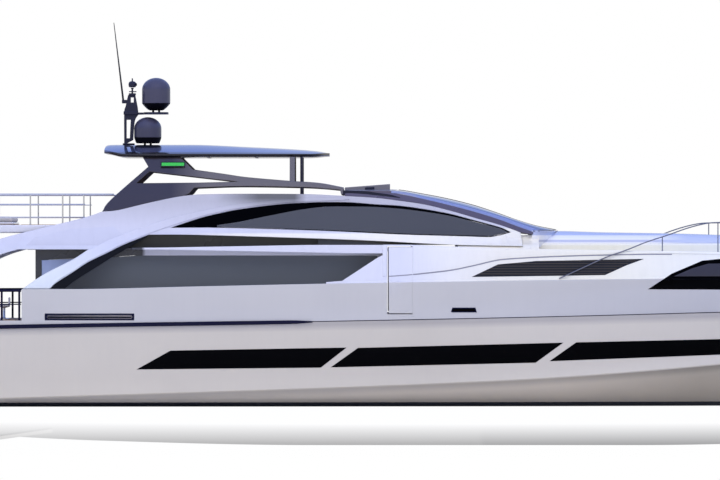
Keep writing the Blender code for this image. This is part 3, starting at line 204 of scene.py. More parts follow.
keel_z = line((-19.6, -0.45), (-16, -0.85), (-10, -1.2), (-3, -1.35), (8, -1.35), (13, -1.25), (16, -0.95),
              (17.6, -0.5), (18.7, 0.1), (19.6, 1.1), (20.5, 2.6), (21.2, 3.95), (21.4, 4.25))
chine_z = line((-19.6, 0.1), (-13.3, 0.28), (-1.3, 0.67), (4.5, 0.93), (10.7, 1.4), (15, 1.85), (19.9, 2.4),
               (21.4, 2.6))
chine_y = line((-19.6, 3.72), (-13, 3.95), (-4, 4.02), (3, 3.9), (8, 3.35), (11, 2.75), (14, 1.95), (17, 1.1),
               (19, 0.5), (20.2, 0.16), (21.4, 0.07))
rub_z = line((-19.6, 2.5), (-13.33, 2.67), (-2.9, 2.84), (4, 2.977), (10.67, 3.143), (16, 3.28), (21.4, 3.45))
rub_y = line((-19.6, 3.95), (-13, 4.25), (-6, 4.35), (1, 4.35), (5, 4.27), (9, 3.95), (12, 3.45), (15, 2.7),
             (18, 1.7), (20, 0.8), (21.4, 0.1))
crease_z = line((-19.6, 2.75), (-18, 3.3), (-16.6, 3.91), (-11, 3.91), (-6.67, 4.0), (-2, 4.1), (2.5, 4.173),
                (7.5, 4.243), (14, 4.3), (21.4, 4.4))
crease_y = line((-19.6, 3.93), (-13, 4.23), (-6, 4.32), (1, 4.32), (5, 4.26), (9, 4.0), (12, 3.6), (15, 2.95),
                (18, 2.0), (20, 1.08), (21.4, 0.14))


def floor_z(x):
    """Height of the main deck, which rises toward the stem."""
    return DECK_Z + 0.8 * smoothstep(x, 9, 20)


def hull_y(x, z):
    """Half breadth of the hull: straight below the chine, t to the power of a growing flare above it, and
    straight from rub rail to crease."""
    low, high, top = chine_z(x), rub_z(x), crease_z(x)
    t = np.clip((z - low) / (high - low), 0, 1)
    flared = chine_y(x) + (rub_y(x) - chine_y(x)) * t ** (1 + 0.9 * smoothstep(x, 4, 17))
    above = rub_y(x) + (crease_y(x) - rub_y(x)) * np.clip((z - high) / (top - high), 0, 1)
    return np.where(z >= high, above, flared)


def side_y(x, z):
    """Half breadth above the crease, where the side steps in and leans inward more and more."""
    rise = np.maximum(z - crease_z(x), 0)
    return crease_y(x) - 0.10 - 0.16 * rise - 0.03 * rise**2


SLOTS = {
    "hull_white": ("topside_paint",),
    "deck_teak": ("teak", "saloon_oak"),
    "cabin_white": ("cabin_paint", "riser_shade_paint", "crease_shade_paint", "wing_paint"),
    "grey_glass": ("aft_tint",),
    "navy": ("seam_dark", "lamp_housing", "rail_paint"),
    "dark_metal": ("dark_paint", "frame_paint"),
    "dark_glass": ("black_glass",),
    "steel": ("polished_steel",),
    "bronze": ("cast_bronze",),
}


def piece(name, points, faces, finish=None, body="yacht", replaces=(), angle=35, slot=None):
    """A mesh piece from full-size points, halved, shaded smooth up to an angle, riding on its body."""
    mesh = bpy.data.meshes.new(name)
    mesh.from_pydata((np.asarray(points, float) * SCALE).tolist(), [], [tuple(f) for f in faces])
    made = bpy.data.objects.new(name, mesh)
    bpy.context.scene.collection.objects.link(made)
    if finish:
        dress(made, finish, body, replaces, angle, slot)
    return made


def dress(made, finish, body="yacht", replaces=(), angle=35, slot=None):
    """Gives a piece its finish, shading and body, and hides the CAD nodes that it stands for. It works out a
    slot, its finish's own unless given, but does not keep it."""
    made.data.materials.clear()
    made.data.materials.append(finish)
    made.data.shade_smooth()
    made.data.set_sharp_from_angle(angle=math.radians(angle))
    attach(made, body)
    if replaces:
        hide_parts(*([replaces] if isinstance(replaces, str) else replaces))
    slot = slot or next((s for s, finishes in SLOTS.items() if finish.name in finishes), None)
    return made


def rings_mesh(rings, closed=False, capped=True):
    """Points and quads through an array of rings (ring, point, xyz). Each ring closes on itself, and the ends
    get caps unless the rings close too."""
    rings = np.asarray(rings, float)
    count, size = rings.shape[:2]
    i, j = np.meshgrid(np.arange(count if closed else count - 1), np.arange(size), indexing="ij")
    i, j = i.ravel(), j.ravel()
    k, m = (i + 1) % count, (j + 1) % size
    quads = np.stack([i * size + j, i * size + m, k * size + m, k * size + j], 1).tolist()
    if capped and not closed:
        quads += [list(range(size))[::-1], list(range((count - 1) * size, count * size))]
    return rings.reshape(-1, 3), quads


def facing_out(points, faces):
    """The faces, all turned round if they enclose a negative volume."""
    points = np.asarray(points, float)
    volume = 0.0
    for size in {len(f) for f in faces}:
        same = np.array([f for f in faces if len(f) == size])
        corners = points[same]
        for k in range(1, size - 1):
            volume += np.linalg.det(corners[:, [0, k, k + 1]]).sum()
    return faces if volume > 0 else [f[::-1] for f in faces]


def loft(name, rings, finish=None, closed=False, **more):
    """A closed skin through an array of rings."""
    points, faces = rings_mesh(rings, closed)
    return piece(name, points, facing_out(points, faces), finish, **more)


def prism(name, outline, low, high, plane="xz", finish=None, **more):
    """An outline in one plane, carried straight from low to high along the third axis."""
    outline = np.asarray(outline, float)
    ends = []
    for level in (low, high):
        third = np.full(len(outline), float(level))
        a, b = outline.T
        ends.append(np.stack({"xz": (a, third, b), "xy": (a, b, third), "yz": (third, a, b)}[plane], 1))
    return loft(name, ends, finish, **more)


def block(name, low, high, finish=None, bevel=0, **more):
    """A box between two corners, its edges rounded by bevel full-size metres."""
    x, y = [low[0], high[0], high[0], low[0]], [low[1], low[1], high[1], high[1]]
    made = prism(name, list(zip(x, y)), low[2], high[2], "xy", finish, **more)
    if bevel:
        soften(made, bevel)
    return made


def soften(made, width, segments=3, angle=40):
    """Rounds the edges of a piece by width, in full-size metres."""
    step = made.modifiers.new("rounded edges", "BEVEL")
    step.width = width * SCALE
    step.segments = segments
    step.limit_method = "ANGLE"
    step.angle_limit = math.radians(angle)
    step.harden_normals = False
    return made


def enclosed(points, loop):
    """Which of the points lie inside a closed loop: a ray along +X crosses it an odd number of times."""
    (x, z), start = points.T, np.asarray(loop, float)
    end = np.roll(start, -1, 0)
    spans = (start[:, 1, None] > z) != (end[:, 1, None] > z)
    rise = np.where(np.abs(end[:, 1] - start[:, 1]) < 1e-12, 1e-12, end[:, 1] - start[:, 1])
    cross = start[:, 0, None] + (z - start[:, 1, None]) * ((end[:, 0] - start[:, 0]) / rise)[:, None]
    return (spans & (x < cross)).sum(0) % 2 == 1


def distance(points, loop):
    """Each point's distance to the nearest side of a closed loop."""
    start = np.asarray(loop, float)
    along = np.roll(start, -1, 0) - start
    off = points[:, None] - start
    share = np.clip((off * along).sum(2) / np.maximum((along**2).sum(1), 1e-12), 0, 1)
    return np.linalg.norm(off - share[..., None] * along, axis=2).min(1)


def divided(loop, step):
    """The loop with its long sides cut into pieces of about step."""
    start = np.asarray(loop, float)
    end = np.roll(start, -1, 0)
    made = []
    for a, b in zip(start, end):
        count = max(1, int(np.ceil(np.linalg.norm(b - a) / step)))
        made.append(a + (b - a) * (np.arange(count) / count)[:, None])
    return np.concatenate(made)


def inset(loop, reach):
    """The loop moved inward by reach, along the bisector of each corner."""
    loop = np.asarray(loop, float)
    before, after = loop - np.roll(loop, 1, 0), np.roll(loop, -1, 0) - loop
    x, z = loop.T
    turn = 1 if (x * np.roll(z, -1) - np.roll(x, -1) * z).sum() > 0 else -1
    normals = []
    for side in (before, after):
        side = side / np.maximum(np.linalg.norm(side, axis=1), 1e-9)[:, None]
        normals.append(np.stack([-side[:, 1], side[:, 0]], 1) * turn)
    middle = normals[0] + normals[1]
    middle /= np.maximum(np.linalg.norm(middle, axis=1), 1e-9)[:, None]
    return loop + middle * (reach / np.maximum((middle * normals[0]).sum(1), 0.4))[:, None]


def panel(name, outline, surface, side, outer, inner, finish=None, holes=(), cell=(0.4, 0.2), edge=0, **more):
    """A plate that follows a side surface. Its outline and holes lie in X-Z, a grid of points between them is
    joined by Delaunay triangles, and Y is side * (surface(x, z) + offset), outer at its face and inner at its
    back. With edge, the rim is rounded: the face stops short by edge, and a quarter circle runs from it to
    the rim."""
    step = min(cell)
    rims = [divided(loop, 1.5 * step) for loop in [outline, *holes]]
    fronts = [inset(loop, edge if k == 0 else -edge) for k, loop in enumerate(rims)] if edge else rims
    low, high = fronts[0].min(0), fronts[0].max(0)
    x, z = np.meshgrid(np.arange(low[0], high[0], cell[0]), np.arange(low[1], high[1], cell[1]))
    spots = np.stack([x.ravel(), z.ravel()], 1)
    keep = enclosed(spots, fronts[0])
    for k, loop in enumerate(fronts):
        keep &= distance(spots, loop) > 0.35 * step
        if k:
            keep &= ~enclosed(spots, loop)
    flat = np.concatenate([*fronts, spots[keep]])
    edges, first = [], 0
    for loop in fronts:
        edges += [(first + i, first + (i + 1) % len(loop)) for i in range(len(loop))]
        first += len(loop)
    found = geometry.delaunay_2d_cdt([Vector(p) for p in flat], edges, [], 0, 1e-7)
    flat = np.array([tuple(p) for p in found[0]])
    faces = np.array([f for f in found[2] if len(f) == 3])
    middle = flat[faces].mean(1)
    keep = enclosed(middle, fronts[0])
    for loop in fronts[1:]:
        keep &= ~enclosed(middle, loop)
    faces = faces[keep]
    corners = flat[faces]
    spin = np.cross(corners[:, 1] - corners[:, 0], corners[:, 2] - corners[:, 0])
    faces[spin < 0] = faces[spin < 0][:, ::-1]

    def place(points, offset):
        return np.stack([points[:, 0], side * (surface(points[:, 0], points[:, 1]) + offset), points[:, 1]],
                        1)

    front, back = place(flat, outer), place(flat, inner)
    count = len(flat)
    halves = np.concatenate([faces[:, [0, 1]], faces[:, [1, 2]], faces[:, [2, 0]]])
    keys = halves[:, 0] * count + halves[:, 1]
    rim = halves[~np.isin(keys, halves[:, 1] * count + halves[:, 0])]
    points, made = [front, back], [faces.tolist(), (faces[:, ::-1] + count).tolist()]
    if not edge:
        a, b = rim.T
        made.append(np.stack([b, a, a + count, b + count], 1).tolist())
    else:
        source = np.concatenate(fronts)
        target = np.concatenate(rims)
        a, b = rim.T
        used = np.unique(rim)
        nearest = np.linalg.norm(flat[used][:, None] - source, axis=2).argmin(1)
        at_rim = target[nearest]
        index = np.full(count, -1)
        index[used] = np.arange(len(used))
        levels = [flat[used] + (at_rim - flat[used]) * s for s in (0.5, 0.87, 1, 1)]
        drops = [outer - edge * d for d in (0.13, 0.5, 1)] + [inner]
        first = 2 * count
        above = (a, b)
        for level, drop in zip(levels, drops):
            points.append(place(level, drop))
            below = (first + index[a], first + index[b])
            made.append(np.stack([above[1], above[0], below[0], below[1]], 1).tolist())
            above = below
            first += len(used)
        made.append(np.stack([above[1], above[0], a + count, b + count], 1).tolist())
    everything = [f for group in made for f in group]
    if side > 0:
        everything = [f[::-1] for f in everything]
    return piece(name, np.concatenate(points), everything, finish, **more)


def carved(target, cutters, joined=(), solver="MANIFOLD"):
    """The target with the cutters taken out and the joined pieces added, as a plain mesh."""
    for operation, others in (("DIFFERENCE", cutters), ("UNION", joined)):
        for other in others:
            step = target.modifiers.new(other.name, "BOOLEAN")
            step.operation = operation
            step.solver = solver
            step.object = other
    graph = bpy.context.evaluated_depsgraph_get()
    made = bpy.data.meshes.new_from_object(target.evaluated_get(graph))
    target.modifiers.clear()
    target.data = made
    for other in [*cutters, *joined]:
        bpy.data.objects.remove(other, do_unlink=True)
    return target


def group(name, inputs, outputs):
    """An empty shader group with named sockets, and its input and output nodes."""
    made = bpy.data.node_groups.new(name, "ShaderNodeTree")
    for label, kind, value in inputs:
        socket = made.interface.new_socket(label, in_out="INPUT", socket_type="NodeSocket" + kind)
        socket.default_value = value
    for label, kind in outputs:
        made.interface.new_socket(label, in_out="OUTPUT", socket_type="NodeSocket" + kind)
    return made, made.nodes.new("NodeGroupInput").outputs, made.nodes.new("NodeGroupOutput").inputs


def principled(name, **sockets):
    """A material with one Principled shader, its constant sockets set, and the shader itself."""
    made = bpy.data.materials.new(name)
    made.use_nodes = True
    shader = made.node_tree.nodes["Principled BSDF"]
    for key, value in sockets.items():
        label = key.replace("_", " ")
        shader.inputs[label].default_value = (*value, 1) if isinstance(value, tuple) else value
    return made, shader


# Sprayed gelcoat, for the hull and every white moulding: a soft cloudiness in the colour, faint vertical run
# marks where water dries, and a polish that is a little uneven.
def scaled(tree, colour, factor):
    """The colour times a factor."""
    return node(tree, "VectorMath", {0: colour, "Scale": factor}, operation="SCALE").outputs[0]


def raised(tree, shader, height, strength, distance):
    """Makes the shader's surface look raised by a height."""
    relief = node(tree, "Bump", {"Height": height, "Strength": strength, "Distance": distance})
    tree.links.new(relief.outputs[0], shader.inputs["Normal"])


weathering, inlet, outlet = group("weathering", [("Color", "Color", (1, 1, 1, 1)), ("Cloud", "Float", 0.03),
                                                 ("Streaks", "Float", 0.03), ("Gloss", "Float", 0.2)],
                                  [("Color", "Color"), ("Roughness", "Float"), ("Height", "Float")])
spot = object_spot(weathering)
cloud = node(weathering, "TexNoise", {"Vector": spot, "Scale": 1.1, "Detail": 3.0}).outputs["Fac"]
runs = node(weathering, "Mapping", {"Vector": spot, "Scale": (9.0, 9.0, 0.5)}).outputs[0]
streak = node(weathering, "TexNoise", {"Vector": runs, "Scale": 1.6, "Detail": 4.0,
                                       "Roughness": 0.6}).outputs["Fac"]
peel = node(weathering, "TexNoise", {"Vector": spot, "Scale": 120.0, "Detail": 1.0}).outputs["Fac"]
shade_a = between(weathering, cloud, 0.3, 0.7, 1.0, maths(weathering, "SUBTRACT", 1.0, inlet["Cloud"]))
shade_b = between(weathering, streak, 0.45, 0.75, 1.0, maths(weathering, "SUBTRACT", 1.0, inlet["Streaks"]))
shade = maths(weathering, "MULTIPLY", shade_a, shade_b)
weathering.links.new(scaled(weathering, inlet["Color"], shade), outlet["Color"])
polish = between(weathering, cloud, 0.3, 0.7, 0.85, 1.2)
weathering.links.new(maths(weathering, "MULTIPLY", polish, inlet["Gloss"]), outlet["Roughness"])
weathering.links.new(peel, outlet["Height"])


def weathered(tree, shader, colour, cloud=0.03, streaks=0.03, gloss=0.2, bump=0.02):
    """Places the weathering group in a material, between a colour and the shader."""
    placed = node(tree, "Group", node_tree=weathering)
    for label, value in (("Cloud", cloud), ("Streaks", streaks), ("Gloss", gloss)):
        placed.inputs[label].default_value = value
    if isinstance(colour, bpy.types.NodeSocket):
        tree.links.new(colour, placed.inputs["Color"])
    else:
        placed.inputs["Color"].default_value = (*colour, 1)
    tree.links.new(placed.outputs["Color"], shader.inputs["Base Color"])
    tree.links.new(placed.outputs["Roughness"], shader.inputs["Roughness"])
    raised(tree, shader, placed.outputs["Height"], bump, 0.002)


def mixed(tree, factor, first, second):
    """The first colour where factor is 0 and the second where it is 1."""
    made = node(tree, "Mix", data_type="RGBA")
    for index, value in ((0, factor), (6, first), (7, second)):
        if isinstance(value, bpy.types.NodeSocket):
            tree.links.new(value, made.inputs[index])
        else:
            made.inputs[index].default_value = value if index == 0 else (*value, 1)
    return made.outputs[2]


def carried(tree, label):
    """A number that the mesh carries on its points."""
    return node(tree, "Attribute", attribute_name=label).outputs["Fac"]


def object_place(tree):
    """The X, Y and Z outputs of the object coordinates."""
    return node(tree, "SeparateXYZ", {0: object_spot(tree)}).outputs


# Cabin tones: the white mouldings are painted lavender grey aft and warm white toward the bow, as painted
# light.
CABIN_LIGHT_TONES = ((0.0, (0.74, 0.73, 0.765)), (0.06, (0.73, 0.725, 0.77)), (0.2, (0.88, 0.85, 0.78)),
               (0.35, (0.89, 0.84, 0.71)), (0.62, (0.95, 0.90, 0.72)), (1.0, (0.96, 0.95, 0.86)))
# Topside tones: warm grey, painted darker close under the rub rail as painted shade.
TOPSIDE_RUB_SHADE_TONES = ((0.0, (0.653, 0.587, 0.461)), (0.16, (0.653, 0.587, 0.461)), (0.56, (0.455, 0.411, 0.348)),
                 (1.0, (0.455, 0.411, 0.348)))
BOTTOM_SHADE_TONES = ((0.25, (0.86, 0.79, 0.66)), (0.63, (0.77, 0.68, 0.52)), (0.75, (0.54, 0.466, 0.333)))
topside_paint, shader = principled("topside_paint", Coat_Weight=0.6, Coat_Roughness=0.06)
tree = topside_paint.node_tree
place = object_place(tree)
under_rub = between(tree, carried(tree, "above_rub"), -0.4, 0.1)
upper = ramp(tree, under_rub, TOPSIDE_RUB_SHADE_TONES)
# The topside is painted up to 22 percent lighter toward the bow: painted light.
upper = scaled(tree, upper, between(tree, place["X"], 0.5, 5.0, 1.0, 1.22))
upper = mixed(tree, between(tree, carried(tree, "above_rub"), -0.002, 0.002), upper, (0.571, 0.545, 0.501))
# Below the chine: pale aft and painted darker forward, where the bottom faces down, as painted shade. A
# painted shadow darkens it close under the chine.
lower = ramp(tree, between(tree, place["X"], -10.0, 10.0), BOTTOM_SHADE_TONES)
shadow = node(tree, "MapRange", {"Value": carried(tree, "above_chine"), "From Min": -0.3, "From Max": -0.03,
                                 "To Min": 1.0, "To Max": 0.6}, interpolation_type="SMOOTHSTEP").outputs[0]
lower = scaled(tree, lower, shadow)
paints = mixed(tree, between(tree, carried(tree, "above_chine"), -0.02, 0.01), lower, upper)
# Above the crease the side takes the cabin tones by X: painted light.
cabin = ramp(tree, between(tree, place["X"], -0.35, 5.5), CABIN_LIGHT_TONES)
paints = mixed(tree, between(tree, carried(tree, "above_crease"), -0.004, 0.004), paints, cabin)
paints = mixed(tree, between(tree, place["Z"], 0.072, 0.073), (0.012, 0.011, 0.011), paints)
paints = mixed(tree, between(tree, place["Z"], -0.002, -0.001), (0.012, 0.014, 0.035), paints)
weathered(tree, shader, paints, 0.03, 0.012, 0.22)

# Hull shell: the moulding itself, laid up in one with its deck and painted with a black stripe at the
# waterline. Stairs, garage, gates, windows and doorways are cut in it, and pads for the running gear added.
stations = np.unique(np.round(np.concatenate([np.arange(STERN_X, BOW_X, 0.3), np.arange(17, BOW_X, 0.12),
                                              [20.3, 20.32, BOW_X]]), 3))
keel = keel_z(stations)
low = np.maximum(chine_z(stations), keel + 0.05)
rub = np.maximum(rub_z(stations), low + 0.08)
crease = crease_z(stations)
chine = np.minimum(chine_y(stations), hull_y(stations, rub) - 0.005)
half_y = [np.minimum(0.12, chine * 0.5), chine * 0.6 + 0.03, chine, chine + 0.05]
half_z = [keel, keel + (low - keel) * (0.6 * chine - 0.09) / np.maximum(chine - 0.12, 0.05), low, low + 0.03]
half_z[1] = np.clip(half_z[1], keel + 0.01, low - 0.005)
for share in np.linspace(0, 1, 12)[1:]:
    z = low + 0.03 + (rub - low - 0.03) * share
    half_y.append(np.maximum(hull_y(stations, z), chine + 0.05))
    half_z.append(z)
wall = np.maximum(crease_y(stations) - SHELL, 0.06)
deck = np.where(stations < 20.31, floor_z(stations), crease - 0.02)
half_y += [crease_y(stations) - 0.012, crease_y(stations), crease_y(stations) - 0.02, wall + 0.02, wall]
half_z += [crease - 0.10, crease - 0.02, crease, crease, crease - 0.02]
half_y.append(np.maximum(np.minimum(wall, hull_y(stations, deck) - SHELL), 0.05))
half_z.append(deck)
half_y[-6] = np.maximum(half_y[-6], hull_y(stations, half_z[-6]))
x = np.repeat(stations[:, None], len(half_y), 1)
starboard = np.stack([x, -np.stack(half_y, 1), np.stack(half_z, 1)], 2)
hull_rings = np.concatenate([starboard, starboard[:, ::-1] * (1, -1, 1)], 1)
hull = loft("yacht_hull", hull_rings)


def transom_x(z):
    """The raked transom's X at this height."""
    return STERN_X + max(z - 0.3, 0) * 0.27


RISE, TREAD = 0.28, 0.29
step_edges = -17.3 - TREAD * np.arange(1, 8)
profile = [(-17.3, 5.0), (-17.3, DECK_Z - RISE)]
for number, edge_x in enumerate(step_edges[:-1], 1):
    profile += [(edge_x, DECK_Z - RISE * number), (edge_x, DECK_Z - RISE * (number + 1))]
profile += [(-22, DECK_Z - 7 * RISE), (-22, 5.0)]
WINDOWS = {
    "aft": [(-8.73, 1.25), (-7.6, 1.88), (-1.77, 1.98), (-2.63, 1.31)],
    "mid": [(-2.31, 1.32), (-1.4, 1.97), (5.4, 2.14), (4.48, 1.47)],
    "fore": [(4.93, 1.52), (5.82, 2.15), (13.2, 2.3), (12.3, 1.78)],
}
BOW_WINDOW = [(8.18, 3.9), (9.0, 4.43), (10.0, 4.85), (10.67, 4.92), (13.4, 4.90), (12.6, 3.88)]
DOORWAY = [(DOOR_X[0], DOOR_Z[0]), (DOOR_X[1], DOOR_Z[0]), (DOOR_X[1], DOOR_Z[1]), (DOOR_X[0], DOOR_Z[1])]


def hull_bottom(x, y):
    """Height of the hull's bottom at a half breadth inside the chine."""
    return float(keel_z(x) + (chine_z(x) - keel_z(x)) * (y - 0.12) / (chine_y(x) - 0.12))


turn = full_turn(32)
tunnel = np.stack([14.6 + 0.26 * np.cos(turn), -0.45 + 0.26 * np.sin(turn)], 1)
cutters = [prism("cut_rake", [(-22, 0.25), (STERN_X - 0.0135, 0.25), (transom_x(5), 5), (-22, 5)], -6, 6),
           block("cut_garage", (-22, -2.5, 0.85), (-15.2, 2.5, 2.35)), prism("cut_thruster", tunnel, -4, 4)]
pads = []
strut_top = hull_bottom(-16.2, SHAFT_Y - 0.14) - 0.03
bearing = hull_bottom(RUDDER_X, SHAFT_Y)
for side, name in SIDES:
    inner, outer = sorted((side * 2.72, side * 3.72))
    cutters.append(prism("cut_stair_" + name, profile, inner, outer))
    inner, outer = sorted((side * 3.5, side * 5))
    cutters.append(block("cut_gate_" + name, (-15.2, inner, DECK_Z + 0.002), (-12.52, outer, 5)))
    cutters.append(block("cut_slot_" + name, (-11.7, inner, 2.9), (-8.85, outer, 3.08)))
    cutters.append(panel("cut_door_" + name, DOORWAY, hull_y, side, 0.5, -0.6))
    cutters.append(panel("cut_bow_" + name, BOW_WINDOW, hull_y, side, 0.5, -0.4))
    for where, outline in WINDOWS.items():
        cutters.append(panel("cut_" + where + name, outline, hull_y, side, 0.5, -0.12))
    y = side * SHAFT_Y
    pads.append(block("pad_" + name, (-16.65, y - 0.14, strut_top), (-16.2, y + 0.14, strut_top + 0.4)))
    ring = np.stack([RUDDER_X + 0.13 * np.cos(turn), y + 0.13 * np.sin(turn)], 1)
    pads.append(prism("bearing_" + name, ring, bearing - 0.12, bearing + 0.3, "xy"))
hull = carved(hull, cutters, pads)
dress(hull, topside_paint, replaces="hull", angle=30)

# Paint bands on the hull: the mesh carries how far each point lies above the rub rail, the chine and the
# crease. The finish takes them for the bulwark's pearl grey, the topside's warm grey, painted darker close
# under the rub rail as painted shade, and the paler bottom, painted darker forward and close under the chine
# as painted shade.
def carry_levels(made):
    """Stores on each vertex its full-size height above the rub rail, the chine and the crease."""
    spots = np.empty(len(made.data.vertices) * 3, np.float32)
    made.data.vertices.foreach_get("co", spots)
    spots = spots.reshape(-1, 3) / SCALE
    for label, level in (("above_rub", rub_z), ("above_chine", chine_z), ("above_crease", crease_z)):
        field = made.data.attributes.new(label, "FLOAT", "POINT")
        field.data.foreach_set("value", spots[:, 2] - level(spots[:, 0]))


carry_levels(hull)

# Rub rail: a hollow strip of navy synthetic, screwed along the widest line of the hull from the transom to
# amidships. Ahead of its tapered end only the thin dark joint of hull and deck mouldings shows.
def sprayed(name, colour, cloud, streaks, gloss, **sockets):
    """A material of one colour, with the weathering group in it."""
    made, shader = principled(name, **sockets)
    weathered(made.node_tree, shader, colour, cloud, streaks, gloss)
    return made


rail_paint = sprayed("rail_paint", (0.005, 0.005, 0.024), 0.15, 0.05, 0.4, Specular_IOR_Level=0.15)
seam_dark = sprayed("seam_dark", (0.02, 0.02, 0.03), 0.2, 0.1, 0.7, Specular_IOR_Level=0.2)


def ribbon(xs, low, high):
    """A closed outline between two curves over xs: along the lower one and back along the upper one."""
    return np.concatenate([np.stack([xs, low + 0 * xs], 1), np.stack([xs, high + 0 * xs], 1)[::-1]])


run = np.linspace(-18.97, -2.9, 60)
swell = line((-18.97, 0.055), (-6, 0.055), (-3.6, 0.05), (-2.9, 0.012))
seam = np.linspace(-2.95, 20.9, 90)
for side, name in SIDES:
    outline = ribbon(run, rub_z(run) - swell(run) - 0.02, rub_z(run) + swell(run))
    panel("rub_rail_" + name, outline, hull_y, side, 0.05, -0.05, rail_paint, cell=(0.3, 0.03), edge=0.018)
    outline = ribbon(seam, rub_z(seam) - 0.012, rub_z(seam) + 0.012)
    panel("deck_joint_" + name, outline, hull_y, side, 0.006, -0.04, seam_dark, cell=(0.4, 0.02))

# Topside windows: three long panes of toughened glass in each side, black all over, bonded flush into rebates
# that are cut in the topside. A thin gap shows as a joint round each pane.
def uneven_gloss(made, shader, scale, low, high, detail=2.0):
    """Lets the roughness wander between low and high, over patches that get smaller as scale grows."""
    tree = made.node_tree
    smear = node(tree, "TexNoise", {"Vector": object_spot(tree), "Scale": scale,
                                    "Detail": detail}).outputs["Fac"]
    tree.links.new(between(tree, smear, 0.0, 1.0, low, high), shader.inputs["Roughness"])


black_glass, shader = principled("black_glass", Base_Color=(0.0006, 0.0006, 0.0008), Roughness=0.16, IOR=1.25,
                                 Specular_IOR_Level=0.1)
uneven_gloss(black_glass, shader, 3.0, 0.10, 0.24, 3.0)
for side, name in SIDES:
    panes = [panel("window_" + where + "_" + name, inset(outline, 0.006), hull_y, side, -0.006, -0.1,
                   black_glass, edge=0.012) for where, outline in WINDOWS.items()]
    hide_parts("hull_windows_" + name)

# Bulwark fittings: a long mooring slot by the cockpit, lined with a navy rim and with a dark roller along it,
# and a small fairlead amidships. Both are castings that are screwed to the topside.
for side, name in SIDES:
    slot_outline = [(-11.75, 2.88), (-8.80, 2.88), (-8.79, 2.99), (-8.80, 3.105), (-11.75, 3.105),
                    (-11.76, 2.99)]
    slot_hole = [(-11.66, 2.93), (-8.89, 2.93), (-8.86, 2.99), (-8.89, 3.05), (-11.66, 3.05), (-11.69, 2.99)]
    panel("slot_rim_" + name, slot_outline, hull_y, side, 0.01, -0.16, rail_paint, holes=[slot_hole],
          cell=(0.4, 0.05), edge=0.008)
    panel("slot_roller_" + name, [(-11.66, 2.95), (-8.89, 2.95), (-8.89, 3.0), (-11.66, 3.0)], hull_y, side,
          -0.05, -0.11, seam_dark, cell=(0.5, 0.05), edge=0.01, slot="steel")
    lead = [(1.67, 3.17), (1.72, 3.3), (2.48, 3.3), (2.53, 3.14), (1.7, 3.14)]
    panel("fairlead_" + name, lead, hull_y, side, 0.012, -0.03, rail_paint, cell=(0.2, 0.05), edge=0.01)
    panel("fairlead_mouth_" + name, inset(lead, 0.035), hull_y, side, 0.016, -0.01, black_glass,
          cell=(0.2, 0.05), slot="navy")

# Decks: teak strips 60 mm wide laid over the glass-fibre deck, with black caulking between them, in the
# cockpit, along the side decks and on the stairs.
planking, inlet, outlet = group("planking", [("Width", "Float", 0.03), ("Seam", "Float", 0.08)],
                                [("Color", "Color"), ("Roughness", "Float"), ("Height", "Float")])
spot = object_spot(planking)
across = node(planking, "SeparateXYZ", {0: spot}).outputs["Y"]
count = maths(planking, "DIVIDE", across, inlet["Width"])
seam_mask = maths(planking, "LESS_THAN", maths(planking, "FRACT", count), inlet["Seam"])
tone = node(planking, "TexWhiteNoise", {"W": maths(planking, "FLOOR", count)},
            noise_dimensions="1D").outputs["Value"]
long_grain = node(planking, "Mapping", {"Vector": spot, "Scale": (3.0, 60.0, 30.0)}).outputs[0]
grain = node(planking, "TexNoise", {"Vector": long_grain, "Scale": 2.0, "Detail": 5.0}).outputs["Fac"]
both = maths(planking, "ADD", tone, grain)
wood = ramp(planking, maths(planking, "MULTIPLY", both, 0.5),
            ((0.25, (0.30, 0.19, 0.10)), (0.5, (0.42, 0.28, 0.16)), (0.75, (0.50, 0.36, 0.22))))
planking.links.new(mixed(planking, seam_mask, wood, (0.012, 0.012, 0.012)), outlet["Color"])
planking.links.new(between(planking, grain, 0.0, 1.0, 0.5, 0.75), outlet["Roughness"])
planking.links.new(maths(planking, "SUBTRACT", grain, seam_mask), outlet["Height"])


def teak_finish(name, width=0.03):
    """A planked wood: the planking group with boards of this width on the model."""
    made, shader = principled(name)
    placed = node(made.node_tree, "Group", node_tree=planking)
    placed.inputs["Width"].default_value = width
    for label, target in (("Color", "Base Color"), ("Roughness", "Roughness")):
        made.node_tree.links.new(placed.outputs[label], shader.inputs[target])
    raised(made.node_tree, shader, placed.outputs["Height"], 0.4, 0.001)
    return made


teak = teak_finish("teak")
LAY = 0.012


def rail_wall(x):
    """Half breadth of the deck inside the bulwark."""
    return np.minimum(crease_y(x), hull_y(x, DECK_Z)) - SHELL - 0.02


xs = np.linspace(-17.28, -12.13, 30)
outline = ribbon(xs, -rail_wall(xs), rail_wall(xs))
prism("cockpit_teak", outline, DECK_Z + 0.0005, DECK_Z + LAY, "xy", teak)
xs = np.linspace(-12.12, -0.6, 50)
for side, name in SIDES:
    outline = ribbon(xs, side * 3.305, side * rail_wall(xs))
    prism("side_deck_teak_" + name, outline, DECK_Z + 0.0005, DECK_Z + LAY, "xy", teak)
    inner, outer = sorted((side * 2.75, side * 3.69))
    for number, edge_x in enumerate(np.concatenate([[-17.3], step_edges[:-1]]), 1):
        top = DECK_Z - RISE * number
        block("tread_%s_%d" % (name, number), (edge_x - TREAD + 0.01, inner, top + 0.0005),
              (edge_x - 0.01, outer, top + LAY), teak)

# Saloon floor: oak boards glued down inside, twice as wide as the teak strips on deck. They are seen through
# the side windows and the sliding doors.
oak = teak_finish("saloon_oak", 0.06)
block("saloon_floor", (-11.97, -3.17, DECK_Z + 0.0005), (-0.5, 3.17, DECK_Z + 0.006), oak)

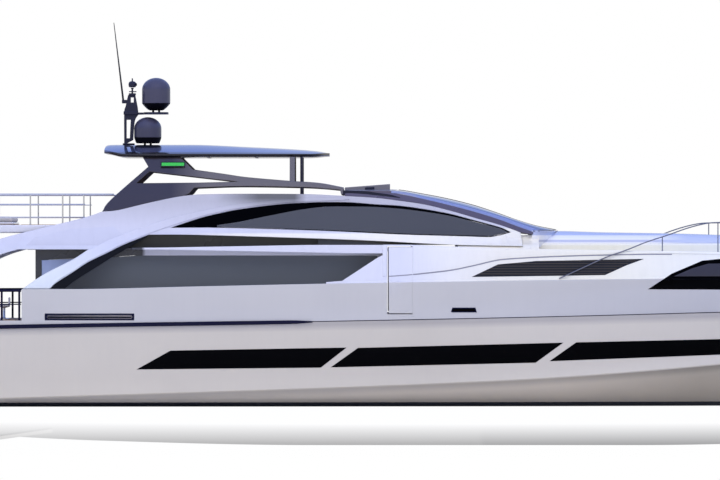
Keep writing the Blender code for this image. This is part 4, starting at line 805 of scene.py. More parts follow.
# Stern: the garage door closes the raked transom flush, with a shadow gap round it, and lifts on its upper
# edge. The bathing platform is one thick rounded moulding, bolted to the transom, with teak laid on it.
GAP = 0.0007
CLEAR = 0.014
white_paint, shader = principled("cabin_paint", Coat_Weight=0.6, Coat_Roughness=0.05)
tree = white_paint.node_tree
forward = object_place(tree)["X"]
# Its colour goes by X through the cabin tones, lavender grey aft to warm white forward: painted light.
weathered(tree, shader, ramp(tree, between(tree, forward, -0.35, 5.5), CABIN_LIGHT_TONES), 0.04, 0.03, 0.2)
low_z, high_z = 0.85 + CLEAR, 2.35 - GAP
outline = [(transom_x(low_z), low_z), (transom_x(high_z), high_z), (transom_x(high_z) + 0.12, high_z),
           (transom_x(low_z) + 0.12, low_z)]
garage = prism("garage_door", outline, -2.5 + CLEAR, 2.5 - CLEAR, "xz", topside_paint, body="transom_door",
               replaces="transom_door")
carry_levels(garage)
soften(garage, 0.012)
outer = np.array([(STERN_X - GAP, -3.6), (-21.0, -3.6), (-21.35, -3.4), (-21.45, -3.0), (-21.45, 3.0),
                  (-21.35, 3.4), (-21.0, 3.6), (STERN_X - GAP, 3.6)])
soften(prism("bathing_platform", outer, 0.2, 0.548, "xy", white_paint, replaces="swim_platform",
             slot="hull_white"), 0.05)
prism("platform_teak", inset(outer, 0.14), 0.54, 0.56, "xy", teak)

# Forward cabin: the full-beam side that stands on the bulwark and carries the foredeck, one moulding with the
# foot of the trunk. Its rail is rounded, and the doorways, bow windows and grille rebates are cut in it.
CHEEK_AFT_X = -2.45
RECESS = 0.13
HOUSE_Y = 3.30
WELL_X, WELL_Y = (-0.35, 3.10), 2.30
GRILLE = [(2.35, 4.31), (3.23, 4.73), (4.5, 4.84), (8.08, 4.91), (7.5, 4.7), (6.77, 4.37)]
sheer_z = line((-2.5, 5.38), (0, 5.38), (1.67, 5.32), (3.3, 5.27), (5, 5.23), (8.7, 5.17), (14, 5.08),
               (18, 4.95), (21.4, 4.8))
trunk_half = line((3.4, 3.05), (5.4, 2.85), (8, 2.4), (11, 1.75), (13.2, 1.15), (13.7, 0.8))


def mirrored(xs, half):
    """Rings at the stations xs, each from the (y, z) pairs of its port half and their mirror images."""
    y, z = np.stack([[y, z] for y, z in half], 2)
    port = np.stack([np.repeat(xs[:, None], len(half), 1), y, z], 2)
    return np.concatenate([port, port[:, ::-1] * (1, -1, 1)], 1)


xs = np.unique(np.concatenate([[CHEEK_AFT_X, -0.585, -0.565, -0.46, -0.45, 19, 19.02, BOW_X - 0.02],
                               np.linspace(-2.1, -0.7, 6), np.arange(-0.2, 19, 0.3),
                               np.arange(19.2, 21.3, 0.15)]))
foot = crease_z(xs) + GAP
top = sheer_z(xs)
ceiling = np.where(xs < 19.01, top - 0.2, foot + 0.02)
inner = np.maximum(crease_y(xs) - SHELL - 0.12, 0.02)
inner = np.where((xs > -0.57) & (xs < -0.455), HOUSE_Y + GAP, inner)
half = [(crease_y(xs) - 0.03, foot), (crease_y(xs) - 0.06, foot + 0.025),
        (side_y(xs, foot) + 0.012, foot + 0.035), (side_y(xs, foot + 0.06), foot + 0.06)]
for share in np.linspace(0, 1, 9)[1:-1]:
    z = foot + (top - foot) * share
    half.append((side_y(xs, z), z))
half += [(side_y(xs, top - 0.04), top - 0.04), (side_y(xs, top) - 0.015, top - 0.01),
         (side_y(xs, top) - 0.03, top)]
edge_y = np.maximum(side_y(xs, top) - 0.12, 0.03)
half += [(edge_y + 0.01, top), (edge_y, top - 0.015), (edge_y, top - RECESS)]
half = [(np.where(xs > 19.01, np.maximum(y, 0.04), y), z) for y, z in half]
under = [(np.maximum(np.minimum(inner, side_y(xs, ceiling) - SHELL), 0.02), ceiling), (inner, foot)]
under = [(np.where(xs > 19.01, 0.02, y), np.where(xs > 19.01, foot + lift, z))
         for (y, z), lift in zip(under, (0.02, 0))]
half = under + half
forehouse = loft("forward_cabin", mirrored(xs, half))
cutters = [block("cut_notch", (-5, -6, 5.02), (-0.56, 6, 8)),
           block("cut_hatch", (15.86, -0.35, 4.5), (16.56, 0.35, 6))]
cheek = [(-4, 3.5), (-4, 6), (-0.6, 6), (-0.6, 5.03), (-0.83, 4.9), (-1.33, 4.57), (-1.93, 4.18),
         (-2.47, 4.14)]
for side, name in SIDES:
    inner_y, outer_y_at = sorted((side * 3.35, side * 6))
    cutters.append(prism("cut_cheek_" + name, cheek, inner_y, outer_y_at))
    cutters.append(panel("cut_door_" + name, DOORWAY, side_y, side, 0.5, -0.3))
    cutters.append(panel("cut_bow_" + name, BOW_WINDOW, side_y, side, 0.5, -0.2))
    cutters.append(panel("cut_grille_" + name, GRILLE, side_y, side, 0.5, -0.07))
xs = np.linspace(3.35, 13.7, 40)
low_z = sheer_z(xs) - 0.2
w = trunk_half(xs)
section = [(w, low_z), (w, 5.36 + 0 * xs), (w - 0.03, 5.40 + 0 * xs), (w - 0.06, 5.42 + 0 * xs)]
trunk_foot = loft("trunk_foot", mirrored(xs, section))
xs = np.array([3.5, 4.0, 4.4])
w = trunk_half(xs)
sill = loft("sill", np.stack([np.stack([xs, s * (w - d), 0 * xs + z], 1) for s, d, z in
                              ((-1, 0.12, 5.3), (1, 0.12, 5.3), (1, 0.3, 5.62), (-1, 0.3, 5.62))], 1))
forehouse = carved(forehouse, cutters, [trunk_foot, sill])
forehouse = carved(forehouse, [block("cut_well", (WELL_X[0], -WELL_Y, 4.5), (WELL_X[1], WELL_Y, 6))])
dress(forehouse, white_paint, replaces=("forehouse_port", "forehouse_starboard", "foredeck"), angle=30)

# Shoulder: a shallow step in the cabin side sweeps up from amidships and over the grille, where the deck
# moulding laps the side moulding. It catches a line of light along its rounded lower edge.
shoulder = line((-0.62, 4.33), (0, 4.37), (0.83, 4.45), (1.67, 4.55), (2.5, 4.72), (3.33, 4.9), (4.17, 4.96),
                (5, 5.0), (6.67, 5.05), (8.5, 5.08), (12, 5.03), (16, 4.93), (18.5, 4.87))
# A grey strip along the foot of the shoulder's step stands in for the shade under it: painted shade.
crease_shade_paint = sprayed("crease_shade_paint", (0.30, 0.29, 0.31), 0.1, 0.02, 0.3, Coat_Weight=0.4,
                       Coat_Roughness=0.08)
for side, name in SIDES:
    for label, start, end in (("aft", -0.585, -0.45), ("fore", 0.42, 18.5)):
        xs = np.linspace(start, end, 3 if label == "aft" else 90)
        lap = ribbon(xs, shoulder(xs), sheer_z(xs) - 0.035)
        panel("shoulder_%s_%s" % (label, name), lap, side_y, side, 0.022, -0.03, white_paint,
              cell=(0.3, 0.12), edge=0.018)
    xs = np.linspace(0.42, 9.0, 60)
    groove = ribbon(xs, shoulder(xs) - 0.035, shoulder(xs) + 0.01)
    panel("shoulder_groove_" + name, groove, side_y, side, 0.006, -0.01, crease_shade_paint, cell=(0.3, 0.05))

# Bow windows: one pane of black bonded glass in each side, like the topside windows, that crosses the crease
# into the forward cabin. The clear middle of the pane shows as dark grey.
def outer_y(x, z):
    """The hull's half breadth below the crease and the cabin side's above it."""
    return np.where(z < crease_z(x), hull_y(x, z), side_y(x, z))


grey_pane, shader = principled("grey_pane", Base_Color=(0.043, 0.040, 0.049), Roughness=0.06, IOR=1.4)
for side, name in SIDES:
    panel("bow_window_pane_" + name, inset(BOW_WINDOW, 0.006), outer_y, side, -0.004, -0.07, black_glass,
          cell=(0.4, 0.08), edge=0.012, replaces="bow_window_" + name)
    clear = [(9.05, 4.33), (9.67, 4.6), (10.2, 4.75), (12.9, 4.78), (12.66, 4.33)]
    panel("bow_window_clear_" + name, clear, outer_y, side, 0.002, -0.02, grey_pane, cell=(0.4, 0.08),
          edge=0.006, slot="grey_glass")

# Air grilles: a dark tray is let into each side of the forward cabin, in front of an air intake. A row of
# level blades in painted aluminium crosses it.
grille_dark, shader = principled("grille_dark", Base_Color=(0.012, 0.012, 0.016), Roughness=0.5)
blade_paint, shader = principled("blade_paint", Base_Color=(0.058, 0.045, 0.028), Roughness=0.35,
                                 Coat_Weight=0.3)
for side, name in SIDES:
    panel("grille_tray_" + name, inset(GRILLE, 0.004), side_y, side, -0.05, -0.068, grille_dark,
          cell=(0.3, 0.1), replaces="grille_" + name, slot="navy")
    for number, level in enumerate(np.arange(4.40, 4.88, 0.085)):
        start = float(np.interp(level, [4.31, 4.73, 4.84], [2.35, 3.23, 4.5])) + 0.06
        end = float(np.interp(level, [4.37, 4.7, 4.91], [6.77, 7.5, 8.08])) - 0.05
        xs = np.linspace(start, end, 12)
        blade = ribbon(xs, level, level + 0.03)
        panel("grille_blade_%s_%d" % (name, number), blade, side_y, side, -0.004, -0.05, blade_paint,
              cell=(0.5, 0.03), slot="navy")

# Side doors: a leaf in each side from the side deck to the rail, moulded with the crease of the side that it
# closes and hung on its forward edge. The groove under the shoulder runs on across it.
for side, name in SIDES:
    xs = np.linspace(DOOR_X[0] + 0.045, DOOR_X[1] - GAP, 6)
    rows = np.concatenate([np.linspace(3.11, 4.12, 6), [4.135, 4.145, 4.15, 4.18],
                           np.linspace(4.25, 5.30, 8)])
    x, z = np.meshgrid(xs, rows, indexing="ij")
    crease_here = crease_z(x)
    y_out = np.where(z < crease_here, hull_y(x, z), side_y(x, z)) - 0.005
    y_out = np.where(np.abs(z - crease_here) < 0.012, 0.5 * (hull_y(x, crease_here - 0.01) + side_y(x, z)),
                     y_out)
    y_in = outer_y(x, z) - 0.075
    rings = np.concatenate([np.stack([x, side * y_out, z], 2), np.stack([x, side * y_in, z], 2)[:, ::-1]], 1)
    leaf = loft("side_door_leaf_" + name, rings, topside_paint, body="side_door_" + name,
                replaces="side_door_" + name, angle=50, slot="cabin_white")
    carry_levels(leaf)
    # The grey groove strip on the door is painted shade too.
    xs = np.linspace(DOOR_X[0] + 0.05, DOOR_X[1] - 0.01, 8)
    groove = ribbon(xs, shoulder(xs) - 0.03, shoulder(xs) + 0.005)
    panel("side_door_groove_" + name, groove, side_y, side, -0.003, -0.02, crease_shade_paint, cell=(0.3, 0.05),
          body="side_door_" + name)
    soften(leaf, 0.008, 2, 60)

# Saloon: white walls round a full-height cabin, tinted glass let into them, and two glass doors that slide
# apart on a track in the aft bulkhead.
GLASS = 0.05
CABIN_AFT_X = -12.10
SALOON_WINDOW = [(-11.9, 3.45), (-11.9, 4.87), (-9.5, 4.97), (-8.9, 5.02), (-0.75, 5.02), (-0.75, 3.45)]


def tinted(name, colour, clear, roughness=0.04):
    """Tinted glass: a dark gloss surface that lets through the share clear of what lies behind it."""
    made, shader = principled(name, Base_Color=colour, Roughness=roughness, IOR=1.45, Alpha=1 - clear)
    tree = made.node_tree
    waves = node(tree, "TexNoise", {"Vector": object_spot(tree), "Scale": 0.7})
    raised(tree, shader, waves.outputs["Fac"], 0.02, 0.05)
    return made


saloon_tint = tinted("saloon_tint", (0.15, 0.165, 0.182), 0.2)
tree = saloon_tint.node_tree
place = object_place(tree)
# The aft corner of each pane, behind a raked line, is painted sky blue: a painted reflection of the sky.
raked = maths(tree, "MULTIPLY_ADD", place["Z"], -1.6, place["X"])
painted_sky_reflection = mixed(tree, between(tree, raked, -9.12, -9.18), (0.15, 0.165, 0.182), (0.60, 0.70, 0.98))
tree.links.new(painted_sky_reflection, tree.nodes["Principled BSDF"].inputs["Base Color"])
aft_tint = tinted("aft_tint", (0.42, 0.53, 0.85), 0.12)
shaded_wall_paint, shader = principled("shaded_wall_paint", Coat_Weight=0.4, Coat_Roughness=0.08)
tree = shaded_wall_paint.node_tree
place = object_place(tree)
# Aft of X -8.56 m above the window heads, and on the aft end of the walls, the white is painted near black:
# painted shade under the arch.
aft = between(tree, place["X"], -4.22, -4.28)
high = maths(tree, "MULTIPLY", aft, between(tree, place["Z"], 2.42, 2.43))
post = maths(tree, "MAXIMUM", between(tree, place["X"], -5.93, -5.94), high)
weathered(tree, shader, mixed(tree, post, (0.73, 0.72, 0.77), (0.05, 0.05, 0.055)), 0.04, 0.02, 0.25)
walls = bpy.data.objects["saloon_walls"].data
walls.materials.clear()
walls.materials.append(shaded_wall_paint)
for side, name in SIDES:
    near, far = sorted((side * (HOUSE_Y - 0.03), side * (HOUSE_Y - 0.03 - GLASS)))
    pane = prism("saloon_pane_" + name, inset(SALOON_WINDOW, 0.008), near, far, "xz", saloon_tint,
                 replaces="saloon_glass_" + name, slot="grey_glass")
    soften(pane, 0.006, 2)
    low_y, high_y = sorted((side * 0.014, side * 1.05))
    leaf_x = CABIN_AFT_X - CLEAR - 0.05
    block("sliding_leaf_" + name, (leaf_x + 0.012, low_y, DECK_Z + 0.008), (leaf_x + 0.038, high_y, 5.02),
          aft_tint, body="saloon_door_" + name, replaces="saloon_door_" + name)
    frame_bars = [((leaf_x, low_y, DECK_Z + 0.008), (leaf_x + 0.05, high_y, DECK_Z + 0.07)),
                  ((leaf_x, low_y, 4.96), (leaf_x + 0.05, high_y, 5.03)),
                  ((leaf_x, low_y, DECK_Z + 0.008), (leaf_x + 0.05, low_y + 0.05, 5.03)),
                  ((leaf_x, high_y - 0.05, DECK_Z + 0.008), (leaf_x + 0.05, high_y, 5.03))]
    for number, (low_corner, high_corner) in enumerate(frame_bars):
        block("sliding_frame_%s_%d" % (name, number), low_corner, high_corner, rail_paint, 0.006,
              body="saloon_door_" + name)
    grip_y = side * 0.1
    block("sliding_grip_" + name, (leaf_x - 0.014, grip_y - 0.012, 3.75),
          (leaf_x + 0.002, grip_y + 0.012, 4.15), rail_paint, 0.006, body="saloon_door_" + name, slot="steel")
fixed = [(-2.944, 2.956), (2.944, 2.956), (2.944, 4.944), (-2.944, 4.944)]
doorway = [(-0.95, 2.9), (0.95, 2.9), (0.95, 4.8), (-0.95, 4.8)]
glazing = prism("aft_panes", fixed, CABIN_AFT_X + 0.03, CABIN_AFT_X + 0.09, "yz")
glazing = carved(glazing, [prism("cut_doorway", doorway, -13, -11, "yz")])
dress(glazing, aft_tint, replaces="aft_glazing")
for number, y in enumerate((-2.93, -1.94, -0.97, 0.97, 1.94, 2.93)):
    block("aft_mullion_%d" % number, (CABIN_AFT_X + 0.02, y - 0.02, 2.955),
          (CABIN_AFT_X + 0.1, y + 0.02, 4.94), seam_dark, 0.008)

# Wings: on each side one long moulding sweeps up from the bulwark as an arch, on as the flybridge's coaming
# and down again under the windscreen, while a second leg comes down to the cockpit. Its white is painted in
# tones of light and shade. A raised band follows the arch, and an inlay fills the fascia between the legs,
# painted a little darker than the wing as painted shade.
BULWARK_Z = 3.9107


def upper_y(x, z):
    """Half breadth of the wheelhouse side: the cabin side's, less up to 0.75 m toward the windscreen."""
    return side_y(x, z) - 0.75 * smoothstep(x, -2, 5) * smoothstep(z, 5.2, 5.6)


def flowing(*stretches, count=5):
    """A closed loop of smooth stretches, each a Catmull-Rom curve through its points, cornered between."""
    made = []
    t = np.linspace(0, 1, count + 1)[:-1][None, :, None]
    for points in stretches:
        points = np.asarray(points, float)
        if len(points) == 2:
            made.append(points[:1])
            continue
        p = np.concatenate([2 * points[:1] - points[1:2], points, 2 * points[-1:] - points[-2:-1]])[:, None]
        a, b, c, d = p[:-3], p[1:-2], p[2:-1], p[3:]
        run = 2 * b + (c - a) * t + (2 * a - 5 * b + 4 * c - d) * t**2 + (3 * b - 3 * c + d - a) * t**3
        made.append((run / 2).reshape(-1, 2))
    return np.concatenate(made)


WING = flowing(
    [(-16.3, BULWARK_Z), (-15.4, 4.55), (-14.4, 5.15), (-13.33, 5.55), (-12, 5.9), (-10.83, 6.18),
     (-10.2, 6.36), (-9.9, 6.47)],
    [(-9.9, 6.47), (-9.33, 6.53), (-8.33, 6.77), (-7.17, 7.0), (-6, 7.06), (-3.33, 7.06), (-1.93, 7.0),
     (-0.83, 6.935), (0, 6.835), (0.83, 6.71), (1.67, 6.505), (2.5, 6.265), (3.33, 6.03), (4.0, 5.785)],
    [(4.0, 5.785), (4.05, 5.335)],
    [(4.05, 5.335), (2.6, 5.355), (1.67, 5.38), (0.67, 5.425), (0, 5.46), (-0.67, 5.495), (-1.67, 5.54),
     (-3.33, 5.6), (-6.67, 5.7), (-8.33, 5.71)],
    [(-8.33, 5.71), (-9.17, 5.37), (-9.67, 5.12), (-10.33, 4.8), (-10.83, 4.47), (-11.33, 4.15),
     (-11.63, BULWARK_Z)],
    [(-11.63, BULWARK_Z), (-12.5, BULWARK_Z)],
    [(-12.5, BULWARK_Z), (-12.1, 4.2), (-11.67, 4.47), (-10.83, 4.9), (-10.33, 5.22)],
    [(-10.33, 5.22), (-12.67, 5.22)],
    [(-12.67, 5.22), (-13.33, 5.01), (-14.2, 4.6), (-15, 4.2), (-15.5, BULWARK_Z)],
    [(-15.5, BULWARK_Z), (-16.3, BULWARK_Z)])
PILOT_WINDOW = flowing(
    [(-7.6, 5.94), (-6.67, 6.25), (-6, 6.417), (-5.33, 6.55), (-4.17, 6.70), (-3.33, 6.76), (-2.5, 6.79),
     (-1.67, 6.78), (-0.83, 6.715), (0, 6.665), (0.83, 6.55), (1.67, 6.395), (2.5, 6.175), (3.2, 5.985),
     (3.45, 5.90), (3.67, 5.79)],
    [(3.67, 5.79), (3.35, 5.70), (3.0, 5.63)],
    [(3.0, 5.63), (1.67, 5.667), (0, 5.717), (-1.67, 5.8), (-3.33, 5.867), (-6, 5.94), (-7.6, 5.94)])
ARCH_BAND = flowing(
    [(-12.46, BULWARK_Z + 0.02), (-12.09, 4.18), (-11.66, 4.45), (-10.82, 4.88), (-10.32, 5.18),
     (-9.67, 5.53), (-9.33, 5.67), (-8.3, 6.05), (-7.2, 6.37), (-6, 6.62), (-5, 6.78), (-3.33, 6.92),
     (-1.93, 6.93), (-1.67, 6.86)],
    [(-1.67, 6.86), (-2.5, 6.83), (-3.33, 6.8), (-4.17, 6.74), (-5.33, 6.59), (-6, 6.457), (-6.67, 6.29),
     (-7.68, 5.97), (-8.33, 5.74), (-9.17, 5.4), (-9.67, 5.15), (-10.33, 4.83), (-10.83, 4.5), (-11.33, 4.18),
     (-11.58, BULWARK_Z + 0.02)],
    [(-11.58, BULWARK_Z + 0.02), (-12.46, BULWARK_Z + 0.02)])
wing_paint, shader = principled("wing_paint", Coat_Weight=0.6, Coat_Roughness=0.05)
tree = wing_paint.node_tree
place = object_place(tree)
# A dark patch on the coaming's top, between X -6.2 m and -3.5 m: a painted reflection of the hardtop's dark
# underside.
shaded = maths(tree, "MULTIPLY", between(tree, place["X"], -3.1, -2.35), between(tree, place["Z"], 3.3, 3.46))
shaded = maths(tree, "MULTIPLY", shaded, between(tree, place["X"], -1.55, -1.75))
# Wing tones by height: paler low down and greyer toward the top under the hardtop, as painted light and
# shade.
WING_LIGHT_TONES = ((0.0, (0.76, 0.79, 0.79)), (0.38, (0.64, 0.645, 0.737)), (0.62, (0.63, 0.62, 0.68)),
              (0.93, (0.49, 0.475, 0.505)))
tones = ramp(tree, between(tree, place["Z"], 2.2, 3.5), WING_LIGHT_TONES)
# Near-white along the lower edge aft and at the nose: painted highlights.
sill = maths(tree, "MULTIPLY", between(tree, place["X"], -3.7, -2.7), between(tree, place["Z"], 2.895, 2.86))
nose = maths(tree, "MULTIPLY", between(tree, place["X"], 1.6, 1.8), between(tree, place["Z"], 2.99, 2.95))
tones = mixed(tree, maths(tree, "MAXIMUM", sill, nose), tones, (0.92, 0.88, 0.77))
weathered(tree, shader, mixed(tree, shaded, tones, (0.138, 0.132, 0.122)), 0.04, 0.03, 0.2)
# The fascia inlay is painted a little darker than the wing: painted shade.
shaded_inlay_paint = sprayed("shaded_inlay_paint", (0.60, 0.60, 0.68), 0.04, 0.03, 0.2, Coat_Weight=0.6,
                      Coat_Roughness=0.05)
for side, name in SIDES:
    panel("wing_shell_" + name, WING, upper_y, side, 0, -SHELL, wing_paint, holes=[PILOT_WINDOW],
          cell=(0.35, 0.15), edge=0.03, replaces="wing_" + name)
    panel("arch_band_" + name, ARCH_BAND, upper_y, side, 0.03, -0.05, wing_paint, cell=(0.35, 0.12),
          edge=0.025)
    fascia = [(-12.4, 5.36), (-9.95, 5.36), (-9.55, 5.56), (-9.2, 5.72), (-9.5, 5.98), (-10.9, 5.9),
              (-12.1, 5.62)]
    panel("fascia_inlay_" + name, fascia, upper_y, side, 0.004, -0.02, shaded_inlay_paint, cell=(0.3, 0.1),
          edge=0.004, slot="cabin_white")

# Arch shadow: a black strip lines the inner edge of the arch, from the bulwark up to the upper deck, and is
# set in a little behind the arch's face. It is a sheet of painted shadow, standing in for the shade between
# the arch and the saloon glass.
arch_shadow_paint, shader = principled("arch_shadow_black", Base_Color=(0.004, 0.004, 0.005), Specular_IOR_Level=0.2)
uneven_gloss(arch_shadow_paint, shader, 20.0, 0.4, 0.6)
ARCH_SHADOW_STRIP = flowing(
    [(-11.58, 3.93), (-11.33, 4.16), (-10.83, 4.48), (-10.33, 4.81), (-9.67, 5.13), (-9.17, 5.38),
     (-8.4, 5.69)],
    [(-8.4, 5.69), (-8.45, 5.60), (-9.1, 5.22), (-9.6, 4.93), (-10.2, 4.55), (-10.75, 4.2), (-11.1, 3.93)],
    [(-11.1, 3.93), (-11.58, 3.93)])
for side, name in SIDES:
    panel("arch_shadow_strip_" + name, ARCH_SHADOW_STRIP, upper_y, side, -0.03, -0.12, arch_shadow_paint, cell=(0.3, 0.08),
          edge=0.01, slot="navy")

# Wheelhouse side windows: one long bonded pane in each side fills its opening in the wing. A black border
# runs all round it, and inside that the glass is a clear grey.
pilot_tint = tinted("pilot_tint", (0.088, 0.09, 0.095), 0.15)
PILOT_PANE = flowing(
    [(-6.07, 6.03), (-5.33, 6.14), (-4.67, 6.28), (-4.17, 6.38), (-3.33, 6.54), (-2.5, 6.64), (-1.67, 6.65),
     (-0.83, 6.635), (0, 6.575), (0.83, 6.475), (1.67, 6.335), (2.5, 6.135), (3.2, 5.955), (3.42, 5.875),
     (3.6, 5.795)],
    [(3.6, 5.795), (3.32, 5.715), (3.02, 5.66)],
    [(3.02, 5.66), (1.67, 5.693), (0, 5.743), (-1.67, 5.825), (-3.33, 5.89), (-6.07, 5.965)],
    [(-6.07, 5.965), (-6.07, 6.03)])
for side, name in SIDES:
    panel("pilot_border_" + name, inset(PILOT_WINDOW, 0.008), upper_y, side, -0.02, -0.02 - GLASS,
          black_glass, holes=[inset(PILOT_PANE, 0.002)], cell=(0.35, 0.12), edge=0.008,
          replaces="pilot_glass_" + name)
    panel("pilot_pane_" + name, inset(PILOT_PANE, 0.006), upper_y, side, -0.022, -0.06, pilot_tint,
          cell=(0.35, 0.12), edge=0.006, slot="grey_glass")

# Windscreen frames: on each side a rail in purple-grey metallic paint runs from the roof down to the nose of
# the windscreen. The wing's top ends under it, and the glass lands on its upper edge.
screen_frame_paint = sprayed("screen_frame_paint", (0.125, 0.105, 0.142), 0.06, 0.03, 0.3, Metallic=0.35,
                             Coat_Weight=0.5, Coat_Roughness=0.05)
FRAME_TOP = [(-1.84, 7.10), (-0.3, 7.09), (0.83, 6.88), (1.67, 6.68), (2.5, 6.46), (3.33, 6.2), (3.83, 6.01),
             (4.42, 5.8)]
SCREEN_FRAME = flowing(
    [(-1.84, 6.99), (-0.83, 6.935), (0, 6.835), (0.83, 6.71), (1.67, 6.505), (2.5, 6.265), (3.33, 6.03),
     (4.0, 5.785), (4.4, 5.72)],
    [(4.4, 5.72), (4.42, 5.8)],
    FRAME_TOP[::-1],
    [(-1.84, 7.10), (-1.84, 7.0207)])
for side, name in SIDES:
    panel("screen_rail_" + name, SCREEN_FRAME, upper_y, side, -0.01, -0.13, screen_frame_paint,
          cell=(0.3, 0.05), edge=0.02, replaces="screen_frame_" + name, slot="dark_metal")

# Wheelhouse top: one crowned surface, a roof in the frames' paint aft and the raked windscreen ahead of it,
# in three panes of dark glass with black joints, painted blue where the glass is steep as a painted
# reflection of the sky. A gloss skirt goes down from the foot of the glass, painted in bands of white and
# blue by height as painted reflection, and a dark joint runs along each side of the roof.
windscreen_z = line((-1.9, 7.22), (-0.3, 7.233), (0.83, 7.073), (1.67, 6.91), (2.5, 6.7), (3.33, 6.42),
                    (4, 6.175), (4.67, 5.985), (5.33, 5.867))
frame_top = line(*FRAME_TOP)
START_X, END_X = FRAME_TOP[0][0], FRAME_TOP[-1][0]


def crown(edge_x, t, drop=0.0):
    """Points of the wheelhouse top for edge stations and shares t across it, sunk by drop. Ahead, each line
    reaches 0.9 * sqrt(1 - t²) further, which rounds the nose in plan."""
    edge_x, t = np.asarray(edge_x, float)[:, None], np.asarray(t, float)[None]
    share = (edge_x - START_X) / (END_X - START_X)
    x = START_X + share * (END_X + 0.9 * np.sqrt(1 - t * t) - START_X)
    middle = windscreen_z(START_X + share * (END_X + 0.9 - START_X))
    edge = frame_top(edge_x) + 0.0707
    y = t * (upper_y(edge_x, frame_top(edge_x)) - 0.03)
    return np.stack([x, y, edge + (middle - edge) * (1 - t * t) - drop + 0 * x], 2)


def bar(path, radius, sides=14):
    """Points and faces of a round bar along a path: circles of radius r square to it, r being one value or
    one for each point."""
    path = np.asarray(path, float)
    along = np.gradient(path, axis=0)
    along /= np.linalg.norm(along, axis=1)[:, None]
    up = (0, 0, 1) if np.abs(along[:, 2]).max() < 0.95 else (0, 1, 0)
    across = np.cross(along, up)
    across /= np.linalg.norm(across, axis=1)[:, None]
    over = np.cross(across, along)
    turn = full_turn(sides)[None, :, None]
    reach = np.broadcast_to(radius, len(path))[:, None, None]
    return rings_mesh(path[:, None] + reach * (np.cos(turn) * across[:, None] + np.sin(turn) * over[:, None]))


def gathered(name, parts, finish, **more):
    """One piece from several closed skins, each given as its points and faces."""
    points, faces, first = [], [], 0
    for spots, sides in parts:
        faces += [[i + first for i in face] for face in facing_out(spots, sides)]
        points.append(spots)
        first += len(spots)
    return piece(name, np.concatenate(points), faces, finish, **more)


def crowned(name, stations, across, finish, thick=0.07, lift=0.0, **more):
    """A crowned shell of even thickness between two stations."""
    top = crown(stations, across, -lift)
    return loft(name, np.concatenate([top, crown(stations, across, thick)[:, ::-1]], 1), finish, **more)


screen_glass, shader = principled("screen_glass", Roughness=0.05, IOR=2.0, Coat_Weight=0.6,
                                  Coat_Roughness=0.02)
tree = screen_glass.node_tree
# Dark where the glass lies near level and blue where it is steeper: a painted reflection of the sky.
lean = node(tree, "SeparateXYZ", {0: node(tree, "NewGeometry").outputs["Normal"]}).outputs["Z"]
tint = mixed(tree, between(tree, lean, 0.97, 0.80), (0.012, 0.012, 0.018), (0.22, 0.27, 0.52))
tree.links.new(tint, shader.inputs["Base Color"])
whole = np.sin(np.linspace(-1, 1, 41) * math.pi / 2)
crowned("roof_shell", np.linspace(START_X, -0.312, 10), whole, screen_frame_paint, replaces="wheelhouse_roof",
        angle=50, slot="cabin_white")
crowned("screen_shell", np.linspace(-0.3, END_X, 32), whole, screen_glass, replaces="windscreen", angle=50,
        slot="dark_glass")
front = crown([END_X], whole)[0]
skirt = []
for drop, back in ((0.02, 0.0), (0.02, 0.04), (None, 0.04), (None, 0.0)):
    ring = front + (-0.01 - back, 0, 0)
    ring[:, 2] = 5.30 if drop is None else ring[:, 2] - drop
    skirt.append(ring)
# Bands of near-white, lavender grey and blue by height for the glossy nose: painted reflection.
NOSE_REFLECTION_TONES = ((0.25, (0.93, 0.91, 0.88)), (0.30, (0.56, 0.56, 0.64)), (0.37, (0.56, 0.56, 0.64)),
              (0.43, (0.96, 0.94, 0.90)), (0.63, (0.96, 0.94, 0.90)), (0.68, (0.50, 0.55, 0.76)),
              (1.0, (0.50, 0.55, 0.76)))
skirt_paint, shader = principled("skirt_gloss", Coat_Weight=0.8, Coat_Roughness=0.04)
tree = skirt_paint.node_tree
level = object_place(tree)["Z"]
tones = ramp(tree, between(tree, level, 2.65, 2.95), NOSE_REFLECTION_TONES)
weathered(tree, shader, tones, 0.06, 0.02, 0.15)
loft("screen_skirt", np.stack(skirt, 1), skirt_paint, angle=40, slot="cabin_white")
xs = np.linspace(-1.9, 0.0, 24)
joint_low = line((-1.9, 7.02), (-1.78, 7.09), (-1.2, 7.06), (-0.83, 7.02), (-0.33, 6.965), (0, 6.925))
joint_high = line((-1.9, 7.185), (-1.2, 7.16), (-0.83, 7.11), (-0.33, 7.04), (0, 6.945))
for side, name in SIDES:
    panel("roof_joint_" + name, ribbon(xs, joint_low(xs), joint_high(xs)), upper_y, side, -0.004, -0.06,
          seam_dark, cell=(0.2, 0.04))
ribs = []
for t in (-0.34, 0.34):
    path = crown(np.linspace(-0.25, END_X - 0.05, 30), [t])[:, 0]
    ribs.append(bar(path, 0.012, 8))
gathered("screen_joints", ribs, seam_dark)

